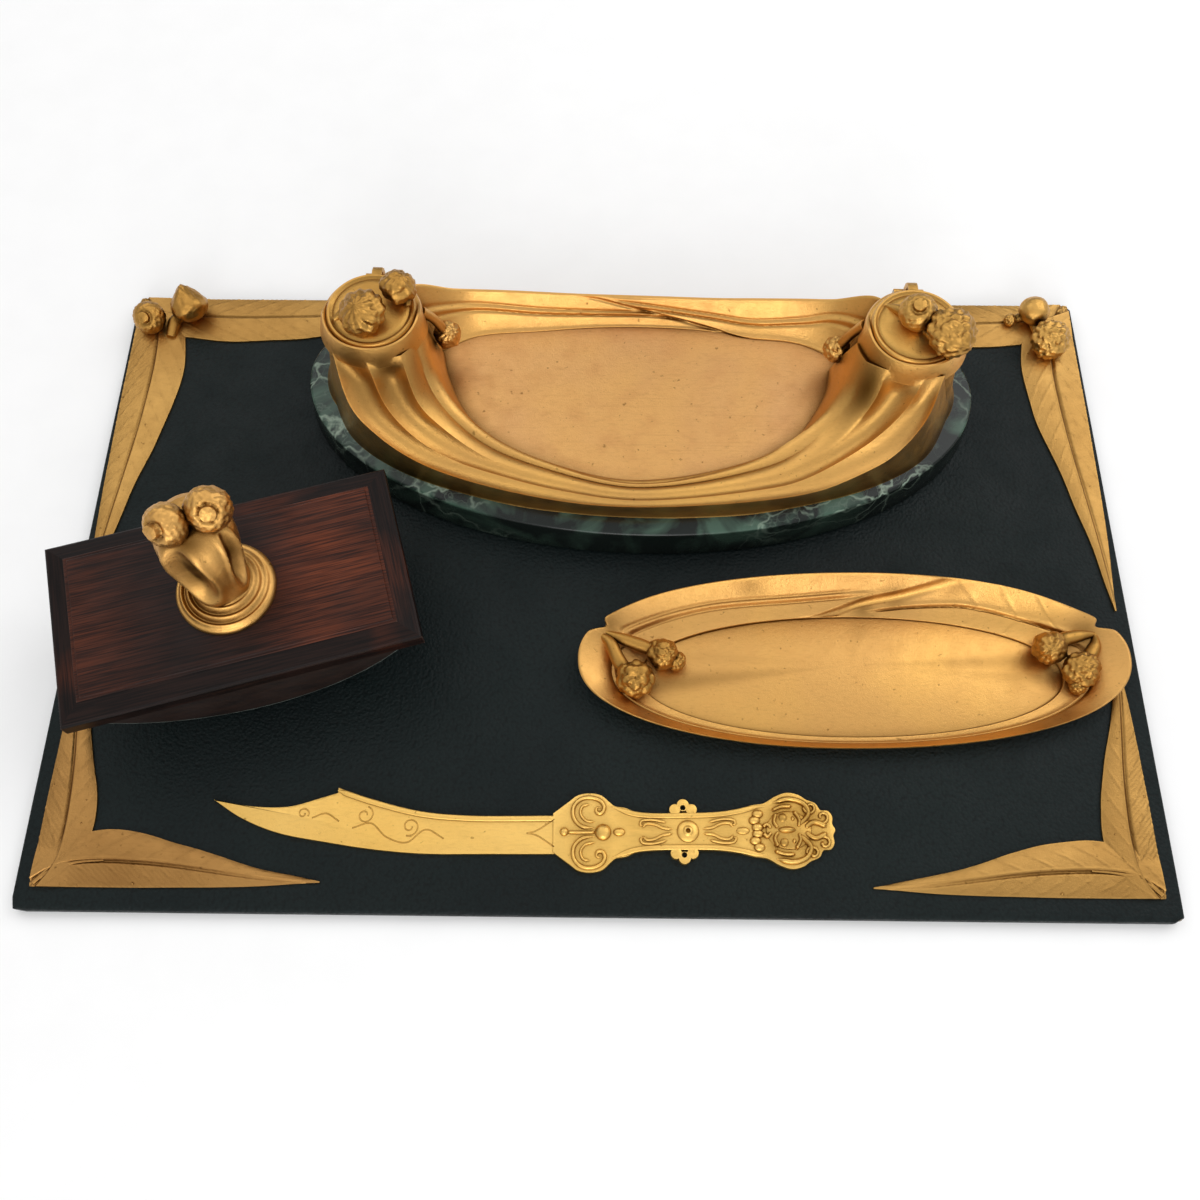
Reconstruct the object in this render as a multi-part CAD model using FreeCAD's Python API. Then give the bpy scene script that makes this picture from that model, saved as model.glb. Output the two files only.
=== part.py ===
import FreeCAD, Part
import math
import os

# Desk set on a leather pad: inkstand, rocker blotter, pen tray and letter opener.
# Lengths are millimetres and angles degrees. The origin is the centre of the pad's underside,
# +X runs along the pad's long side, +Y away from the writer and +Z up.

Vector = FreeCAD.Vector
ORIGIN = Vector(0, 0, 0)
X_AXIS = Vector(1, 0, 0)
Y_AXIS = Vector(0, 1, 0)
UP = Vector(0, 0, 1)
FULL_TURN = 360

# Shared values
OVERRUN = 5.0
CASTING_SINK = 0.8
RUNNING_CLEARANCE = 0.05
LOFT_DEGREE = 3
QUARTER_STEPS = 6

# Desk pad
PAD_WIDTH = 500.0
PAD_DEPTH = 320.0
BOARD_THICKNESS = 4.0
LEATHER_THICKNESS = 0.9
PAD_CORNER_RADIUS = 3.0
PAD_EDGE_RADIUS = 1.7
TURN_IN = 20.0
LINING_GAP = 0.3
PAD_TOP = BOARD_THICKNESS + 2 * LEATHER_THICKNESS

# Corner mounts: two leaves each, lying along the pad's edges
LEAF_EDGE_HEIGHT = 1.2
LEAF_RIB_HEIGHT = 2.6
LEAF_BELLY = 0.45
LEAF_TIP_DRIFT = 4.0
LEAF_ROOT_SETBACK = 0.8
RIB_PLACE_SHARE = 0.48
LEAF_WIDTH_SHARES = (
    (0, 0.8), (0.12, 0.9), (0.24, 1), (0.36, 0.94), (0.5, 0.75), (0.64, 0.55), (0.8, 0.34), (1, 0.05))
FRONT_EDGE_LEAF_LENGTH = 124.0
FRONT_EDGE_LEAF_WIDTH = 24.5
FRONT_SIDE_LEAF_LENGTH = 112.0
FRONT_SIDE_LEAF_WIDTH = 22.5
REAR_SIDE_LEAF_LENGTH = 176.0
REAR_SIDE_LEAF_WIDTH = 29.3
REAR_BACK_LEAF_LENGTH = 225.0
REAR_BACK_LEAF_WIDTH = 27.0
# Distances of the mounts from the pad's side and from its front or back edge
FRONT_CORNER_INSET = 7.5
FRONT_CORNER_SETBACK = 9.8
REAR_CORNER_INSET = 2.5
REAR_CORNER_SETBACK = 1.7
RIVET_RADIUS = 0.9
RIVET_HEAD_RADIUS = 2.2
RIVET_HEAD_HEIGHT = 0.8
RIVET_ENTRY = 1.2
RIVET_STATIONS = (2, 5)

# Buds: outline as shares of radius and height, with a small nub on top
BUD_OUTLINE_SHARES = ((0.5, 0), (0.9, 0.25), (1, 0.5), (0.84, 0.78), (0.3, 0.97))
BUD_NUB_SHARES = ((0.2, 0.97), (0.17, 1.07), (0, 1.1))
SMALL_BUD_RADIUS = 7.4
LARGE_BUD_RADIUS = 9.2
BUD_HEIGHT_SHARE = 1.75
CORNER_BUD_SEAT = 3.2
LID_BUD_SEAT = 4.6
TRAY_BUD_SEAT = 4.6
# Places of the corner buds from the mount's corner point, along the back edge and the side edge
REAR_LEFT_BUD_PLACES = ((31.0, 11.5), (11.5, 17.0))
REAR_RIGHT_BUD_PLACES = ((21.5, 10.0), (15.5, 27.0))

# Inkstand place on the pad
INKSTAND_X = 18.7
INKSTAND_REAR_GAP = 21.0
INKSTAND_YAW = -1.5

# Marble base: a bowed front and a flat back
MARBLE_HALF_WIDTH = 167.0
MARBLE_FRONT = 87.5
MARBLE_REAR = 42.0
MARBLE_CORNER_RUN = 62.0
MARBLE_THICKNESS = 17.0
MARBLE_TAPER = 2.0
MARBLE_BEVEL = 0.9
FELT_THICKNESS = 1.0
FELT_INSET = 6.0

# Inkstand casting, heights from the marble's top
WELL_SPACING = 250.0
WELL_HEIGHT = 48.0
WELL_TOP_RADIUS = 22.4
WELL_FOOT_RADIUS = 31.5
WELL_OUTLINE_SHARES = ((1, 0), (0.78, 0.12), (0.42, 0.42), (0.04, 0.78), (0.08, 0.92), (0, 1))
TRAY_FLOOR = 5.5
FRONT_LIP_HEIGHT = 11.0
SHOULDER_HEIGHT = 42.0
FRONT_LIP_REACH = 77.0
FRONT_FLOOR_REACH = 60.0
FLOOR_END_DROP = 2.0
SHOULDER_INSET = 1.6
BAND_RISE_POWER = 5.0
# Leaf folds of the band: a crease, a midrib, a ridge and a crest, with hollows between them
BAND_SHARES = (
    (0, 0.82), (0.06, 1), (0.19, 0.84), (0.32, 0.94), (0.44, 0.8), (0.56, 0.9), (0.76, 0.66), (0.89, 0.7),
    (1, 0))
BACK_WALL_HEIGHT = 19.0
BACK_WALL_REACH = 38.8
BACK_WALL_THICKNESS = 3.5
BACK_FLOOR_REACH = 26.0
BACK_END_REACH = 17.0
BACK_FLOOR_END_REACH = 4.0
BACK_WALL_STEPS = 10
BACK_WALL_BEND_POWER = 6
BACK_COVE_SHARE = 0.3

# Ink pots in their bores
POT_BORE_RADIUS = 16.4
POT_BORE_DEPTH = 38.0
POT_FLANGE_SEAT_RADIUS = 18.8
POT_FLANGE_HEIGHT = 2.2
POT_CLEARANCE = 0.3
POT_WALL = 2.6
POT_FLOOR = 4.0
POT_LIP_DROP = 0.2

# Lids and their hinges
LID_RADIUS = 20.8
LID_THICKNESS = 2.4
LID_BEAD_HEIGHT = 3.4
LID_DOME_HEIGHT = 4.2
LID_SEAT_GAP = 0.1
LID_BEAD_SHARES = (0.98, 0.92, 0.86)
KNUCKLE_RADIUS = 2.4
KNUCKLE_LENGTH = 4.6
KNUCKLE_GAP = 0.2
HINGE_PIN_RADIUS = 1.2
HINGE_STANDOFF = 3.6
HINGE_DROP = 7.0
HINGE_LUG_DEPTH = 9.0
HINGE_LUG_ROOT = 4.0
LID_ARM_LAP = 5.0
# Bud places from the lid's centre
LEFT_LID_BUD_PLACES = ((-4.0, -4.0), (10.5, 8.8))
RIGHT_LID_BUD_PLACES = ((-4.5, 3.0), (10.4, -7.6))
LID_BUD_RADII = ((LARGE_BUD_RADIUS, SMALL_BUD_RADIUS), (SMALL_BUD_RADIUS, LARGE_BUD_RADIUS))

# Screws that hold the casting to the marble
SCREW_RADIUS = 2.0
SCREW_ENTRY = 5.0
SCREW_TIP_ROOM = 0.6
SCREW_HEAD_RADIUS = 4.0
SCREW_HEAD_HEIGHT = 3.0
SCREW_SLOT_WIDTH = 1.1
SCREW_SLOT_DEPTH = 1.3
WASHER_RADIUS = 6.0
WASHER_THICKNESS = 1.0
SCREW_HOLE_CLEARANCE = 0.4
COUNTERBORE_CLEARANCE = 0.8
COUNTERBORE_DEPTH = 6.0
FRONT_SCREW_REACH = 68.5

# Rocker blotter, heights from the pad's top
ROCKER_FROM_LEFT = 90.3
ROCKER_FROM_INKSTAND = 128.3
ROCKER_YAW = 16.1
ROCKER_RADIUS = 88.0
ROCKER_RISE = 36.0
ROCKER_WIDTH = 76.0
ROCKER_REST_GAP = 0.3
PAPER_THICKNESS = 0.5
PAPER_LIP = 14.0
TOP_LENGTH = 152.0
TOP_WIDTH = 85.0
TOP_EDGE_HEIGHT = 8.0
TOP_BORDER = 11.0
TOP_SLOPE_RISE = 2.2
TOP_STEP_RISE = 1.4
TOP_BEAD_INSET = 2.0
TOP_BEAD_RISE = 0.9
STUD_HOLE_CLEARANCE = 0.5
STUD_RADIUS = 2.5
STUD_KNOB_ENTRY = 14.0
STUD_INSERT_ENTRY = 14.0
INSERT_RADIUS = 5.0
INSERT_LENGTH = 18.0
INSERT_FLANGE_RADIUS = 7.5
INSERT_FLANGE_HEIGHT = 1.5

# Knob, heights from the top board's field
KNOB_FOOT_RADIUS = 21.3
KNOB_FOOT_HEIGHT = 7.0
KNOB_FOOT_SHARES = ((1, 0.22), (0.97, 0.4), (0.9, 0.42), (0.84, 0.62), (0.74, 0.66), (0.66, 0.88), (0.56, 1))
KNOB_HEIGHT = 42.0
KNOB_CUP_RADIUS = 14.5
KNOB_LEAN = 13.0
KNOB_SECTION_SHARES = ((0.1, 0.8), (0.28, 0.7), (0.55, 0.86), (0.82, 1), (1, 0.66))
KNOB_LOBES = 3
KNOB_LOBE_SHARE = 0.07
KNOB_LOBE_POINTS = 18
# Hollows between the cup's leaves, cut by a ball
KNOB_HOLLOW_RADIUS = 14.0
KNOB_HOLLOW_REACH = 22.5
KNOB_HOLLOW_SHARE = 0.5
KNOB_HOLLOW_ANGLES = (-116.0, -36.0, 90.0)
KNOB_BUD_SPREAD = 8.8
KNOB_BUD_YAW = 21.0
KNOB_BUD_SEAT = 36.5
KNOB_SEAT_GAP = 0.1

# Pen tray
TRAY_FROM_RIGHT = 134.0
TRAY_YAW = 0.6
TRAY_HALF_LENGTH = 126.0
TRAY_HALF_WIDTH = 41.0
TRAY_FLOOR_HALF_LENGTH = 97.0
TRAY_FLOOR_HALF_WIDTH = 28.8
TRAY_FLOOR_SHIFT = -5.8
TRAY_FLOOR_LAP = 0.5
TRAY_SHEET = 2.0
TRAY_RIM_HEIGHT = 12.0
TRAY_REAR_RISE = 3.5
TRAY_BELLY_SHARE = 0.34
TRAY_MID_SHARE = 0.5
LEFT_TRAY_BUD_PLACES = ((-99.5, -8.5), (-87.0, 4.0))
RIGHT_TRAY_BUD_PLACES = ((90.0, 7.0), (102.5, -4.0))

# Letter opener: blade to the left of the guard, handle to the right
OPENER_X = -14.5
OPENER_YAW = 1.2
BLADE_LENGTH = 154.0
BLADE_WIDTH = 22.0
BLADE_THICKNESS = 1.8
BLADE_BACK_SHARES = ((-1, 0.73), (-0.883, 0.59), (-0.782, 0.58), (-0.695, 0.74), (-0.646, 0.84))
BLADE_SPINE_SHARES = (
    (-0.646, 0.95), (-0.545, 0.71), (-0.406, 0.46), (-0.27, 0.36), (-0.13, 0.34), (0, 0.34))
BLADE_EDGE_SHARES = (
    (0, -0.41), (-0.2, -0.4), (-0.4, -0.37), (-0.535, -0.29), (-0.67, -0.13), (-0.81, 0.06), (-0.914, 0.35),
    (-1, 0.73))
SPINE_WIDTH = 2.4
SPINE_RISE = 0.9
HANDLE_LENGTH = 118.0
HANDLE_HALF_WIDTH = 17.2
HANDLE_THICKNESS = 2.2
HANDLE_OUTLINE_SHARES = (
    (-0.04, 0.49), (0.02, 0.78), (0.095, 1), (0.165, 0.8), (0.2, 0.65), (0.26, 0.53), (0.33, 0.47),
    (0.45, 0.46), (0.57, 0.49), (0.66, 0.57), (0.74, 0.7), (0.79, 0.87), (0.835, 0.96), (0.885, 0.86),
    (0.94, 0.66), (0.965, 0.5), (0.99, 0.36), (1, 0))
LUG_PLACE_SHARE = 0.443
LUG_REACH = 9.6
LUG_SPREAD = 3.6
LUG_CROWN = 2.0
LUG_RADIUS = 2.6
LUG_HOLE_RADIUS = 1.2
SCROLL_PLACE_SHARE = 0.1
SCROLL_REACH = 9.6
SCROLL_RADIUS = 4.6
SCROLL_SECTION_RADIUS = 1.1
BOSS_RADIUS = 3.6
BOSS_RISE = 1.8
GUARD_BOSS_PLACE_SHARE = 0.146
MASK_PLACE_SHARE = 0.83
MASK_HALF_WIDTH = 10.0
MASK_RISE = 1.8
NOSE_PLACE_SHARE = 0.81
NOSE_RADIUS = 2.2
EYE_PLACE_SHARE = 0.875
EYE_REACH = 5.2
EYE_RADIUS = 1.6
FEATURE_RISE = 3.0

# Layout from front to back: opener, tray and inkstand share the depth that they leave free.
# The tray's rear edge may reach behind the foremost point of the marble's bow.
OPENER_MARGIN = 5.0
TRAY_NEST = 7.0
OPENER_MARGIN_SHARE = 0.232
TRAY_GAP_SHARE = 0.4

# Places and heights worked out from the sizes above
MARBLE_BOTTOM = PAD_TOP + FELT_THICKNESS
MARBLE_TOP = MARBLE_BOTTOM + MARBLE_THICKNESS
INKSTAND_Y = PAD_DEPTH / 2 - INKSTAND_REAR_GAP - MARBLE_REAR
INKSTAND_FRONT = INKSTAND_Y - MARBLE_FRONT
SPARE_DEPTH = (PAD_DEPTH / 2 + INKSTAND_FRONT + TRAY_NEST
               - 2 * TRAY_HALF_WIDTH - 2 * HANDLE_HALF_WIDTH - OPENER_MARGIN)
WELL_X = WELL_SPACING / 2
HINGE_REACH = WELL_TOP_RADIUS + HINGE_STANDOFF
HINGE_HEIGHT = WELL_HEIGHT - HINGE_DROP
ROCKER_X = ROCKER_FROM_LEFT - PAD_WIDTH / 2
ROCKER_Y = INKSTAND_Y - ROCKER_FROM_INKSTAND
ROCKER_BOTTOM = PAD_TOP + ROCKER_REST_GAP + PAPER_THICKNESS
ROCKER_TOP = ROCKER_BOTTOM + ROCKER_RISE
TOP_BOTTOM = ROCKER_TOP + PAPER_THICKNESS
TOP_FIELD = TOP_BOTTOM + TOP_EDGE_HEIGHT + TOP_SLOPE_RISE + TOP_STEP_RISE
KNOB_BASE = TOP_FIELD + KNOB_SEAT_GAP
TRAY_X = PAD_WIDTH / 2 - TRAY_FROM_RIGHT
TRAY_Y = INKSTAND_FRONT + TRAY_NEST - SPARE_DEPTH * TRAY_GAP_SHARE - TRAY_HALF_WIDTH
OPENER_Y = OPENER_MARGIN + SPARE_DEPTH * OPENER_MARGIN_SHARE + HANDLE_HALF_WIDTH - PAD_DEPTH / 2


# Shared shapes

def placed(shape, x, y, z, yaw=0):
    """Copy a shape made about the origin to its place."""
    copy = shape.copy()
    copy.rotate(ORIGIN, UP, yaw)
    copy.translate(Vector(x, y, z))
    return copy


def in_inkstand(shape, height=MARBLE_TOP):
    return placed(shape, INKSTAND_X, INKSTAND_Y, height, INKSTAND_YAW)


def in_rocker(shape, height):
    return placed(shape, ROCKER_X, ROCKER_Y, height, ROCKER_YAW)


def in_tray(shape):
    return placed(shape, TRAY_X, TRAY_Y, PAD_TOP, TRAY_YAW)


def cylinder(radius, height, place=ORIGIN, direction=UP):
    return Part.makeCylinder(radius, height, place, direction)


def block(length, width, height, bottom=0):
    """Box centred over the origin."""
    return Part.makeBox(length, width, height, Vector(-length / 2, -width / 2, bottom))


def spline(points):
    """Smooth edge through points, evenly parametrised so that sections match."""
    curve = Part.BSplineCurve()
    curve.interpolate(Points=points, Parameters=list(range(len(points))))
    return curve.toShape()


def polygon(points):
    return Part.makePolygon(points + points[:1])


def loft(wires):
    """Smooth solid through the sections, taken in the order that turns its faces out."""
    solid = Part.makeLoft(wires, True, False, False, LOFT_DEGREE)
    if solid.Volume < 0:
        solid = Part.makeLoft(wires[::-1], True, False, False, LOFT_DEGREE)
    return solid


def ruled_loft(wires):
    return Part.makeLoft(wires, True, True)


def turned(edges):
    """Solid of revolution about the Z axis from an outline in the XZ plane."""
    return Part.Face(Part.Wire(edges)).revolve(ORIGIN, UP, FULL_TURN)


def turned_polygon(outline):
    points = [Vector(radius, 0, height) for radius, height in outline]
    return Part.Face(polygon(points)).revolve(ORIGIN, UP, FULL_TURN)


def cap_arc(radius, low, top):
    """Arc from the rim of a spherical cap up to its crown on the Z axis."""
    rise = top - low
    ball = (radius ** 2 + rise ** 2) / (2 * rise)
    lean = math.asin(radius / ball) / 2
    middle = Vector(ball * math.sin(lean), 0, top - ball + ball * math.cos(lean))
    return Part.Arc(Vector(radius, 0, low), middle, Vector(0, 0, top)).toShape()


def rounded_plate(width, depth, radius, thickness, bottom):
    plate = block(width, depth, thickness, bottom)
    uprights = [edge for edge in plate.Edges if edge.BoundBox.ZLength > edge.BoundBox.DiagonalLength / 2]
    return plate.makeFillet(radius, uprights)


def bud(radius):
    """Round bud with a nub, standing on the origin."""
    height = radius * BUD_HEIGHT_SHARE
    outline = [Vector(radius * across, 0, height * up) for across, up in BUD_OUTLINE_SHARES]
    nub = [Vector(radius * across, 0, height * up) for across, up in BUD_NUB_SHARES]
    edges = [Part.makeLine(ORIGIN, outline[0]), spline(outline)]
    corners = [outline[-1]] + nub + [ORIGIN]
    edges += [Part.makeLine(start, end) for start, end in zip(corners, corners[1:])]
    return turned(edges)


def buds_at(places, radii, height):
    spots = zip(places, radii)
    return Part.makeCompound([placed(bud(radius), x, y, height) for (x, y), radius in spots])


def bud_seats(places, radii, bottom, top):
    """Flat-topped stalk ends on a casting, one under each bud."""
    neck_share = BUD_OUTLINE_SHARES[0][0]
    return [cylinder(radius * neck_share, top - bottom, Vector(x, y, bottom))
            for (x, y), radius in zip(places, radii)]


# Desk pad

def pad_board():
    width = PAD_WIDTH - 2 * LEATHER_THICKNESS
    depth = PAD_DEPTH - 2 * LEATHER_THICKNESS
    radius = PAD_CORNER_RADIUS - LEATHER_THICKNESS
    return rounded_plate(width, depth, radius, BOARD_THICKNESS, LEATHER_THICKNESS)


def pad_lining():
    width = PAD_WIDTH - 2 * TURN_IN
    depth = PAD_DEPTH - 2 * TURN_IN
    return rounded_plate(width, depth, PAD_CORNER_RADIUS, LEATHER_THICKNESS, 0)


def pad_leather(board):
    """Leather drawn over the board, with its edges turned in under it."""
    outer = rounded_plate(PAD_WIDTH, PAD_DEPTH, PAD_CORNER_RADIUS, PAD_TOP, 0)
    rim = [edge for edge in outer.Edges if edge.BoundBox.ZMin > PAD_TOP - LEATHER_THICKNESS]
    outer = outer.makeFillet(PAD_EDGE_RADIUS, rim)
    width = PAD_WIDTH - 2 * TURN_IN + 2 * LINING_GAP
    depth = PAD_DEPTH - 2 * TURN_IN + 2 * LINING_GAP
    window = rounded_plate(width, depth, PAD_CORNER_RADIUS, LEATHER_THICKNESS, 0)
    return outer.cut([board, window])


# Corner mounts

def leaf_stations(width):
    """Outer edge, rib, inner edge and rib height at each station along a leaf."""
    for along_share, width_share in LEAF_WIDTH_SHARES:
        outer = LEAF_TIP_DRIFT * along_share ** 2
        inner = outer + width * width_share
        rib = outer + (inner - outer) * RIB_PLACE_SHARE
        rise = (LEAF_RIB_HEIGHT - LEAF_EDGE_HEIGHT) * width_share
        yield along_share, width_share, outer, rib, inner, LEAF_EDGE_HEIGHT + rise


def crown(start, end, belly):
    """Arc over one half of a leaf."""
    return Part.Arc(start, (start + end) / 2 + UP * belly, end).toShape()


def leaf(length, width, run, across):
    """Low-relief leaf with a raised midrib, its straight edge along the run."""
    wires = []
    for along_share, width_share, outer, rib, inner, rib_height in leaf_stations(width):
        base = run * (LEAF_ROOT_SETBACK + (length - LEAF_ROOT_SETBACK) * along_share)
        outer_foot = base + across * outer
        inner_foot = base + across * inner
        outer_edge = outer_foot + UP * LEAF_EDGE_HEIGHT
        inner_edge = inner_foot + UP * LEAF_EDGE_HEIGHT
        ridge = base + across * rib + UP * rib_height
        belly = LEAF_BELLY * width_share
        wires.append(Part.Wire([
            Part.makeLine(outer_foot, inner_foot),
            Part.makeLine(inner_foot, inner_edge),
            crown(inner_edge, ridge, belly),
            crown(ridge, outer_edge, belly),
            Part.makeLine(outer_edge, outer_foot)]))
    return loft(wires)


def rivet_places(length, width, run, across):
    """Points on the midrib where rivets hold a leaf."""
    stations = list(leaf_stations(width))
    for index in RIVET_STATIONS:
        along_share, width_share, outer, rib, inner, rib_height = stations[index]
        yield run * (length * along_share) + across * rib


def corner_layout(x_side, y_side):
    """Corner point and the two leaves (length, width, run, across) of one mount."""
    along_back = X_AXIS * -x_side
    along_side = Y_AXIS * -y_side
    if y_side < 0:
        inset, setback = FRONT_CORNER_INSET, FRONT_CORNER_SETBACK
        leaves = ((FRONT_EDGE_LEAF_LENGTH, FRONT_EDGE_LEAF_WIDTH, along_back, along_side),
                  (FRONT_SIDE_LEAF_LENGTH, FRONT_SIDE_LEAF_WIDTH, along_side, along_back))
    else:
        inset, setback = REAR_CORNER_INSET, REAR_CORNER_SETBACK
        leaves = ((REAR_BACK_LEAF_LENGTH, REAR_BACK_LEAF_WIDTH, along_back, along_side),
                  (REAR_SIDE_LEAF_LENGTH, REAR_SIDE_LEAF_WIDTH, along_side, along_back))
    corner = Vector(x_side * (PAD_WIDTH / 2 - inset), y_side * (PAD_DEPTH / 2 - setback), PAD_TOP)
    return corner, leaves


def corner_rivets(x_side, y_side):
    """Rivets of one mount: a head under the board and a shank up into the leaf."""
    corner, leaves = corner_layout(x_side, y_side)
    rivets = []
    for leaf_values in leaves:
        for place in rivet_places(*leaf_values):
            foot = Vector(corner.x + place.x, corner.y + place.y, LEATHER_THICKNESS)
            shank = cylinder(RIVET_RADIUS, PAD_TOP - LEATHER_THICKNESS + RIVET_ENTRY, foot)
            head = cylinder(RIVET_HEAD_RADIUS, RIVET_HEAD_HEIGHT, foot)
            rivets.append(shank.fuse(head).removeSplitter())
    return rivets


def corner_bud_places(x_side, places):
    corner = corner_layout(x_side, 1)[0]
    return [(corner.x - x_side * along, corner.y - inward) for along, inward in places]


def corner_mount(x_side, y_side, rivets, seats):
    corner, leaves = corner_layout(x_side, y_side)
    back, side = [leaf(*values) for values in leaves]
    mount = back.fuse(side)
    mount.translate(corner)
    if seats:
        mount = mount.fuse(seats)
    return mount.cut(rivets)


# Inkstand

def bowed_outline(half_width, front, rear, corner_run, height):
    """Closed outline with a half-ellipse front, rounded rear corners and a straight back."""
    place = Vector(0, 0, height)
    front_half = Part.Ellipse(place, half_width, front)
    edges = [Part.ArcOfEllipse(front_half, math.pi, 2 * math.pi).toShape()]
    straight = half_width - corner_run
    right = elliptic_quarter(Vector(straight, 0, height), corner_run, rear, 0)
    left = elliptic_quarter(Vector(-straight, 0, height), corner_run, rear, math.pi / 2)
    back = Part.makeLine(Vector(straight, rear, height), Vector(-straight, rear, height))
    return Part.Wire(edges + [right, back, left])


def elliptic_quarter(centre, x_radius, y_radius, start):
    """Quarter of an ellipse with axes along X and Y, counted anticlockwise from +X."""
    if x_radius >= y_radius:
        ellipse = Part.Ellipse(centre, x_radius, y_radius)
        return Part.ArcOfEllipse(ellipse, start, start + math.pi / 2).toShape()
    tall = Part.Ellipse(centre + Y_AXIS * y_radius, centre - X_AXIS * x_radius, centre)
    return Part.ArcOfEllipse(tall, start - math.pi / 2, start).toShape()


def marble_outline(inset, height):
    return bowed_outline(MARBLE_HALF_WIDTH - inset, MARBLE_FRONT - inset, MARBLE_REAR - inset,
                         MARBLE_CORNER_RUN - inset, height)


def screw_places():
    """Screws under both wells and under the front lip."""
    return (Vector(-WELL_X, 0, 0), Vector(WELL_X, 0, 0), Vector(0, -FRONT_SCREW_REACH, 0))


def marble_base():
    edge = MARBLE_THICKNESS - MARBLE_BEVEL
    slab = ruled_loft([
        marble_outline(0, 0),
        marble_outline(MARBLE_TAPER, edge),
        marble_outline(MARBLE_TAPER + MARBLE_BEVEL, MARBLE_THICKNESS)])
    holes = []
    for place in screw_places():
        holes.append(cylinder(SCREW_RADIUS + SCREW_HOLE_CLEARANCE, MARBLE_THICKNESS, place))
        holes.append(cylinder(WASHER_RADIUS + COUNTERBORE_CLEARANCE, COUNTERBORE_DEPTH, place))
    return slab.cut(holes)


def base_felt():
    outline = marble_outline(FELT_INSET, 0)
    return Part.Face(outline).extrude(UP * FELT_THICKNESS)


def base_screw(place):
    """Slotted screw, heights from the marble's underside."""
    seat = COUNTERBORE_DEPTH - WASHER_THICKNESS
    head = cylinder(SCREW_HEAD_RADIUS, SCREW_HEAD_HEIGHT, Vector(0, 0, seat - SCREW_HEAD_HEIGHT))
    shank_length = MARBLE_THICKNESS - seat + SCREW_ENTRY
    shank = cylinder(SCREW_RADIUS, shank_length, Vector(0, 0, seat))
    slot = block(2 * WASHER_RADIUS, SCREW_SLOT_WIDTH, SCREW_SLOT_DEPTH, seat - SCREW_HEAD_HEIGHT)
    screw = head.fuse(shank).removeSplitter().cut(slot)
    screw.translate(place)
    return screw


def base_washer(place):
    seat = place + UP * (COUNTERBORE_DEPTH - WASHER_THICKNESS)
    disc = cylinder(WASHER_RADIUS, WASHER_THICKNESS, seat)
    return disc.cut(cylinder(SCREW_RADIUS + RUNNING_CLEARANCE, WASHER_THICKNESS, seat))


def band_section(angle):
    """Upright section of the front band, from its outer lip to the tray's floor."""
    cos, sin = math.cos(angle), math.sin(angle)
    shoulder_reach = WELL_X + WELL_TOP_RADIUS - SHOULDER_INSET
    floor_reach = WELL_X - WELL_TOP_RADIUS + SHOULDER_INSET
    outer = Vector(shoulder_reach * cos, FRONT_LIP_REACH * sin, 0)
    inner = Vector(floor_reach * cos, (FRONT_FLOOR_REACH - FLOOR_END_DROP) * sin - FLOOR_END_DROP, 0)
    rise = abs(cos) ** BAND_RISE_POWER
    lip = FRONT_LIP_HEIGHT + (SHOULDER_HEIGHT - FRONT_LIP_HEIGHT) * rise
    low = TRAY_FLOOR - CASTING_SINK
    top = []
    for across_share, up_share in BAND_SHARES:
        top.append(outer + (inner - outer) * across_share + UP * (low + (lip - low) * up_share))
    return Part.Wire([
        Part.makeLine(outer, top[0]),
        spline(top),
        Part.makeLine(top[-1], inner),
        Part.makeLine(inner, outer)])


def front_band():
    """Both halves of the bowed front rim, rising into the wells."""
    halves = []
    for start in (math.pi, 3 * math.pi / 2):
        step = math.pi / 2 / QUARTER_STEPS
        halves.append(loft([band_section(start + step * count) for count in range(QUARTER_STEPS + 1)]))
    return halves


def back_section(along_share):
    """Section of the back wall: upright behind, coved down to the floor in front."""
    bend = abs(along_share) ** BACK_WALL_BEND_POWER
    x = WELL_X * along_share
    rear = BACK_WALL_REACH - (BACK_WALL_REACH - BACK_END_REACH) * bend
    front = BACK_FLOOR_REACH - (BACK_FLOOR_REACH - BACK_FLOOR_END_REACH) * bend
    height = BACK_WALL_HEIGHT + (SHOULDER_HEIGHT - BACK_WALL_HEIGHT) * bend
    low = TRAY_FLOOR - CASTING_SINK
    crest = rear - BACK_WALL_THICKNESS
    middle = Vector(x, crest + (front - crest) * BACK_COVE_SHARE, low + (height - low) * BACK_COVE_SHARE)
    behind, rear_top = Vector(x, rear, 0), Vector(x, rear, height)
    front_top, foot = Vector(x, crest, height), Vector(x, front, low)
    return Part.Wire([
        Part.makeLine(behind, rear_top),
        Part.makeLine(rear_top, front_top),
        Part.Arc(front_top, middle, foot).toShape(),
        Part.makeLine(foot, Vector(x, front, 0)),
        Part.makeLine(Vector(x, front, 0), behind)])


def back_wall():
    steps = range(BACK_WALL_STEPS + 1)
    return loft([back_section(2 * step / BACK_WALL_STEPS - 1) for step in steps])


def tray_floor():
    reach = (FRONT_LIP_REACH + FRONT_FLOOR_REACH) / 2
    rear = (BACK_WALL_REACH + BACK_FLOOR_REACH) / 2
    outline = bowed_outline(WELL_X, reach, rear, MARBLE_CORNER_RUN, 0)
    return Part.Face(outline).extrude(UP * TRAY_FLOOR)


def well_housing(x):
    """Round housing that flares to its foot."""
    flare = WELL_FOOT_RADIUS - WELL_TOP_RADIUS
    rings = []
    for out_share, up_share in WELL_OUTLINE_SHARES:
        circle = Part.Circle(Vector(x, 0, WELL_HEIGHT * up_share), UP, WELL_TOP_RADIUS + flare * out_share)
        rings.append(Part.Wire(circle.toShape()))
    return loft(rings)


def knuckle(x, start, length):
    """Barrel of a lid hinge, along X from its start."""
    return cylinder(KNUCKLE_RADIUS, length, Vector(x + start, HINGE_REACH, HINGE_HEIGHT), X_AXIS)


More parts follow.
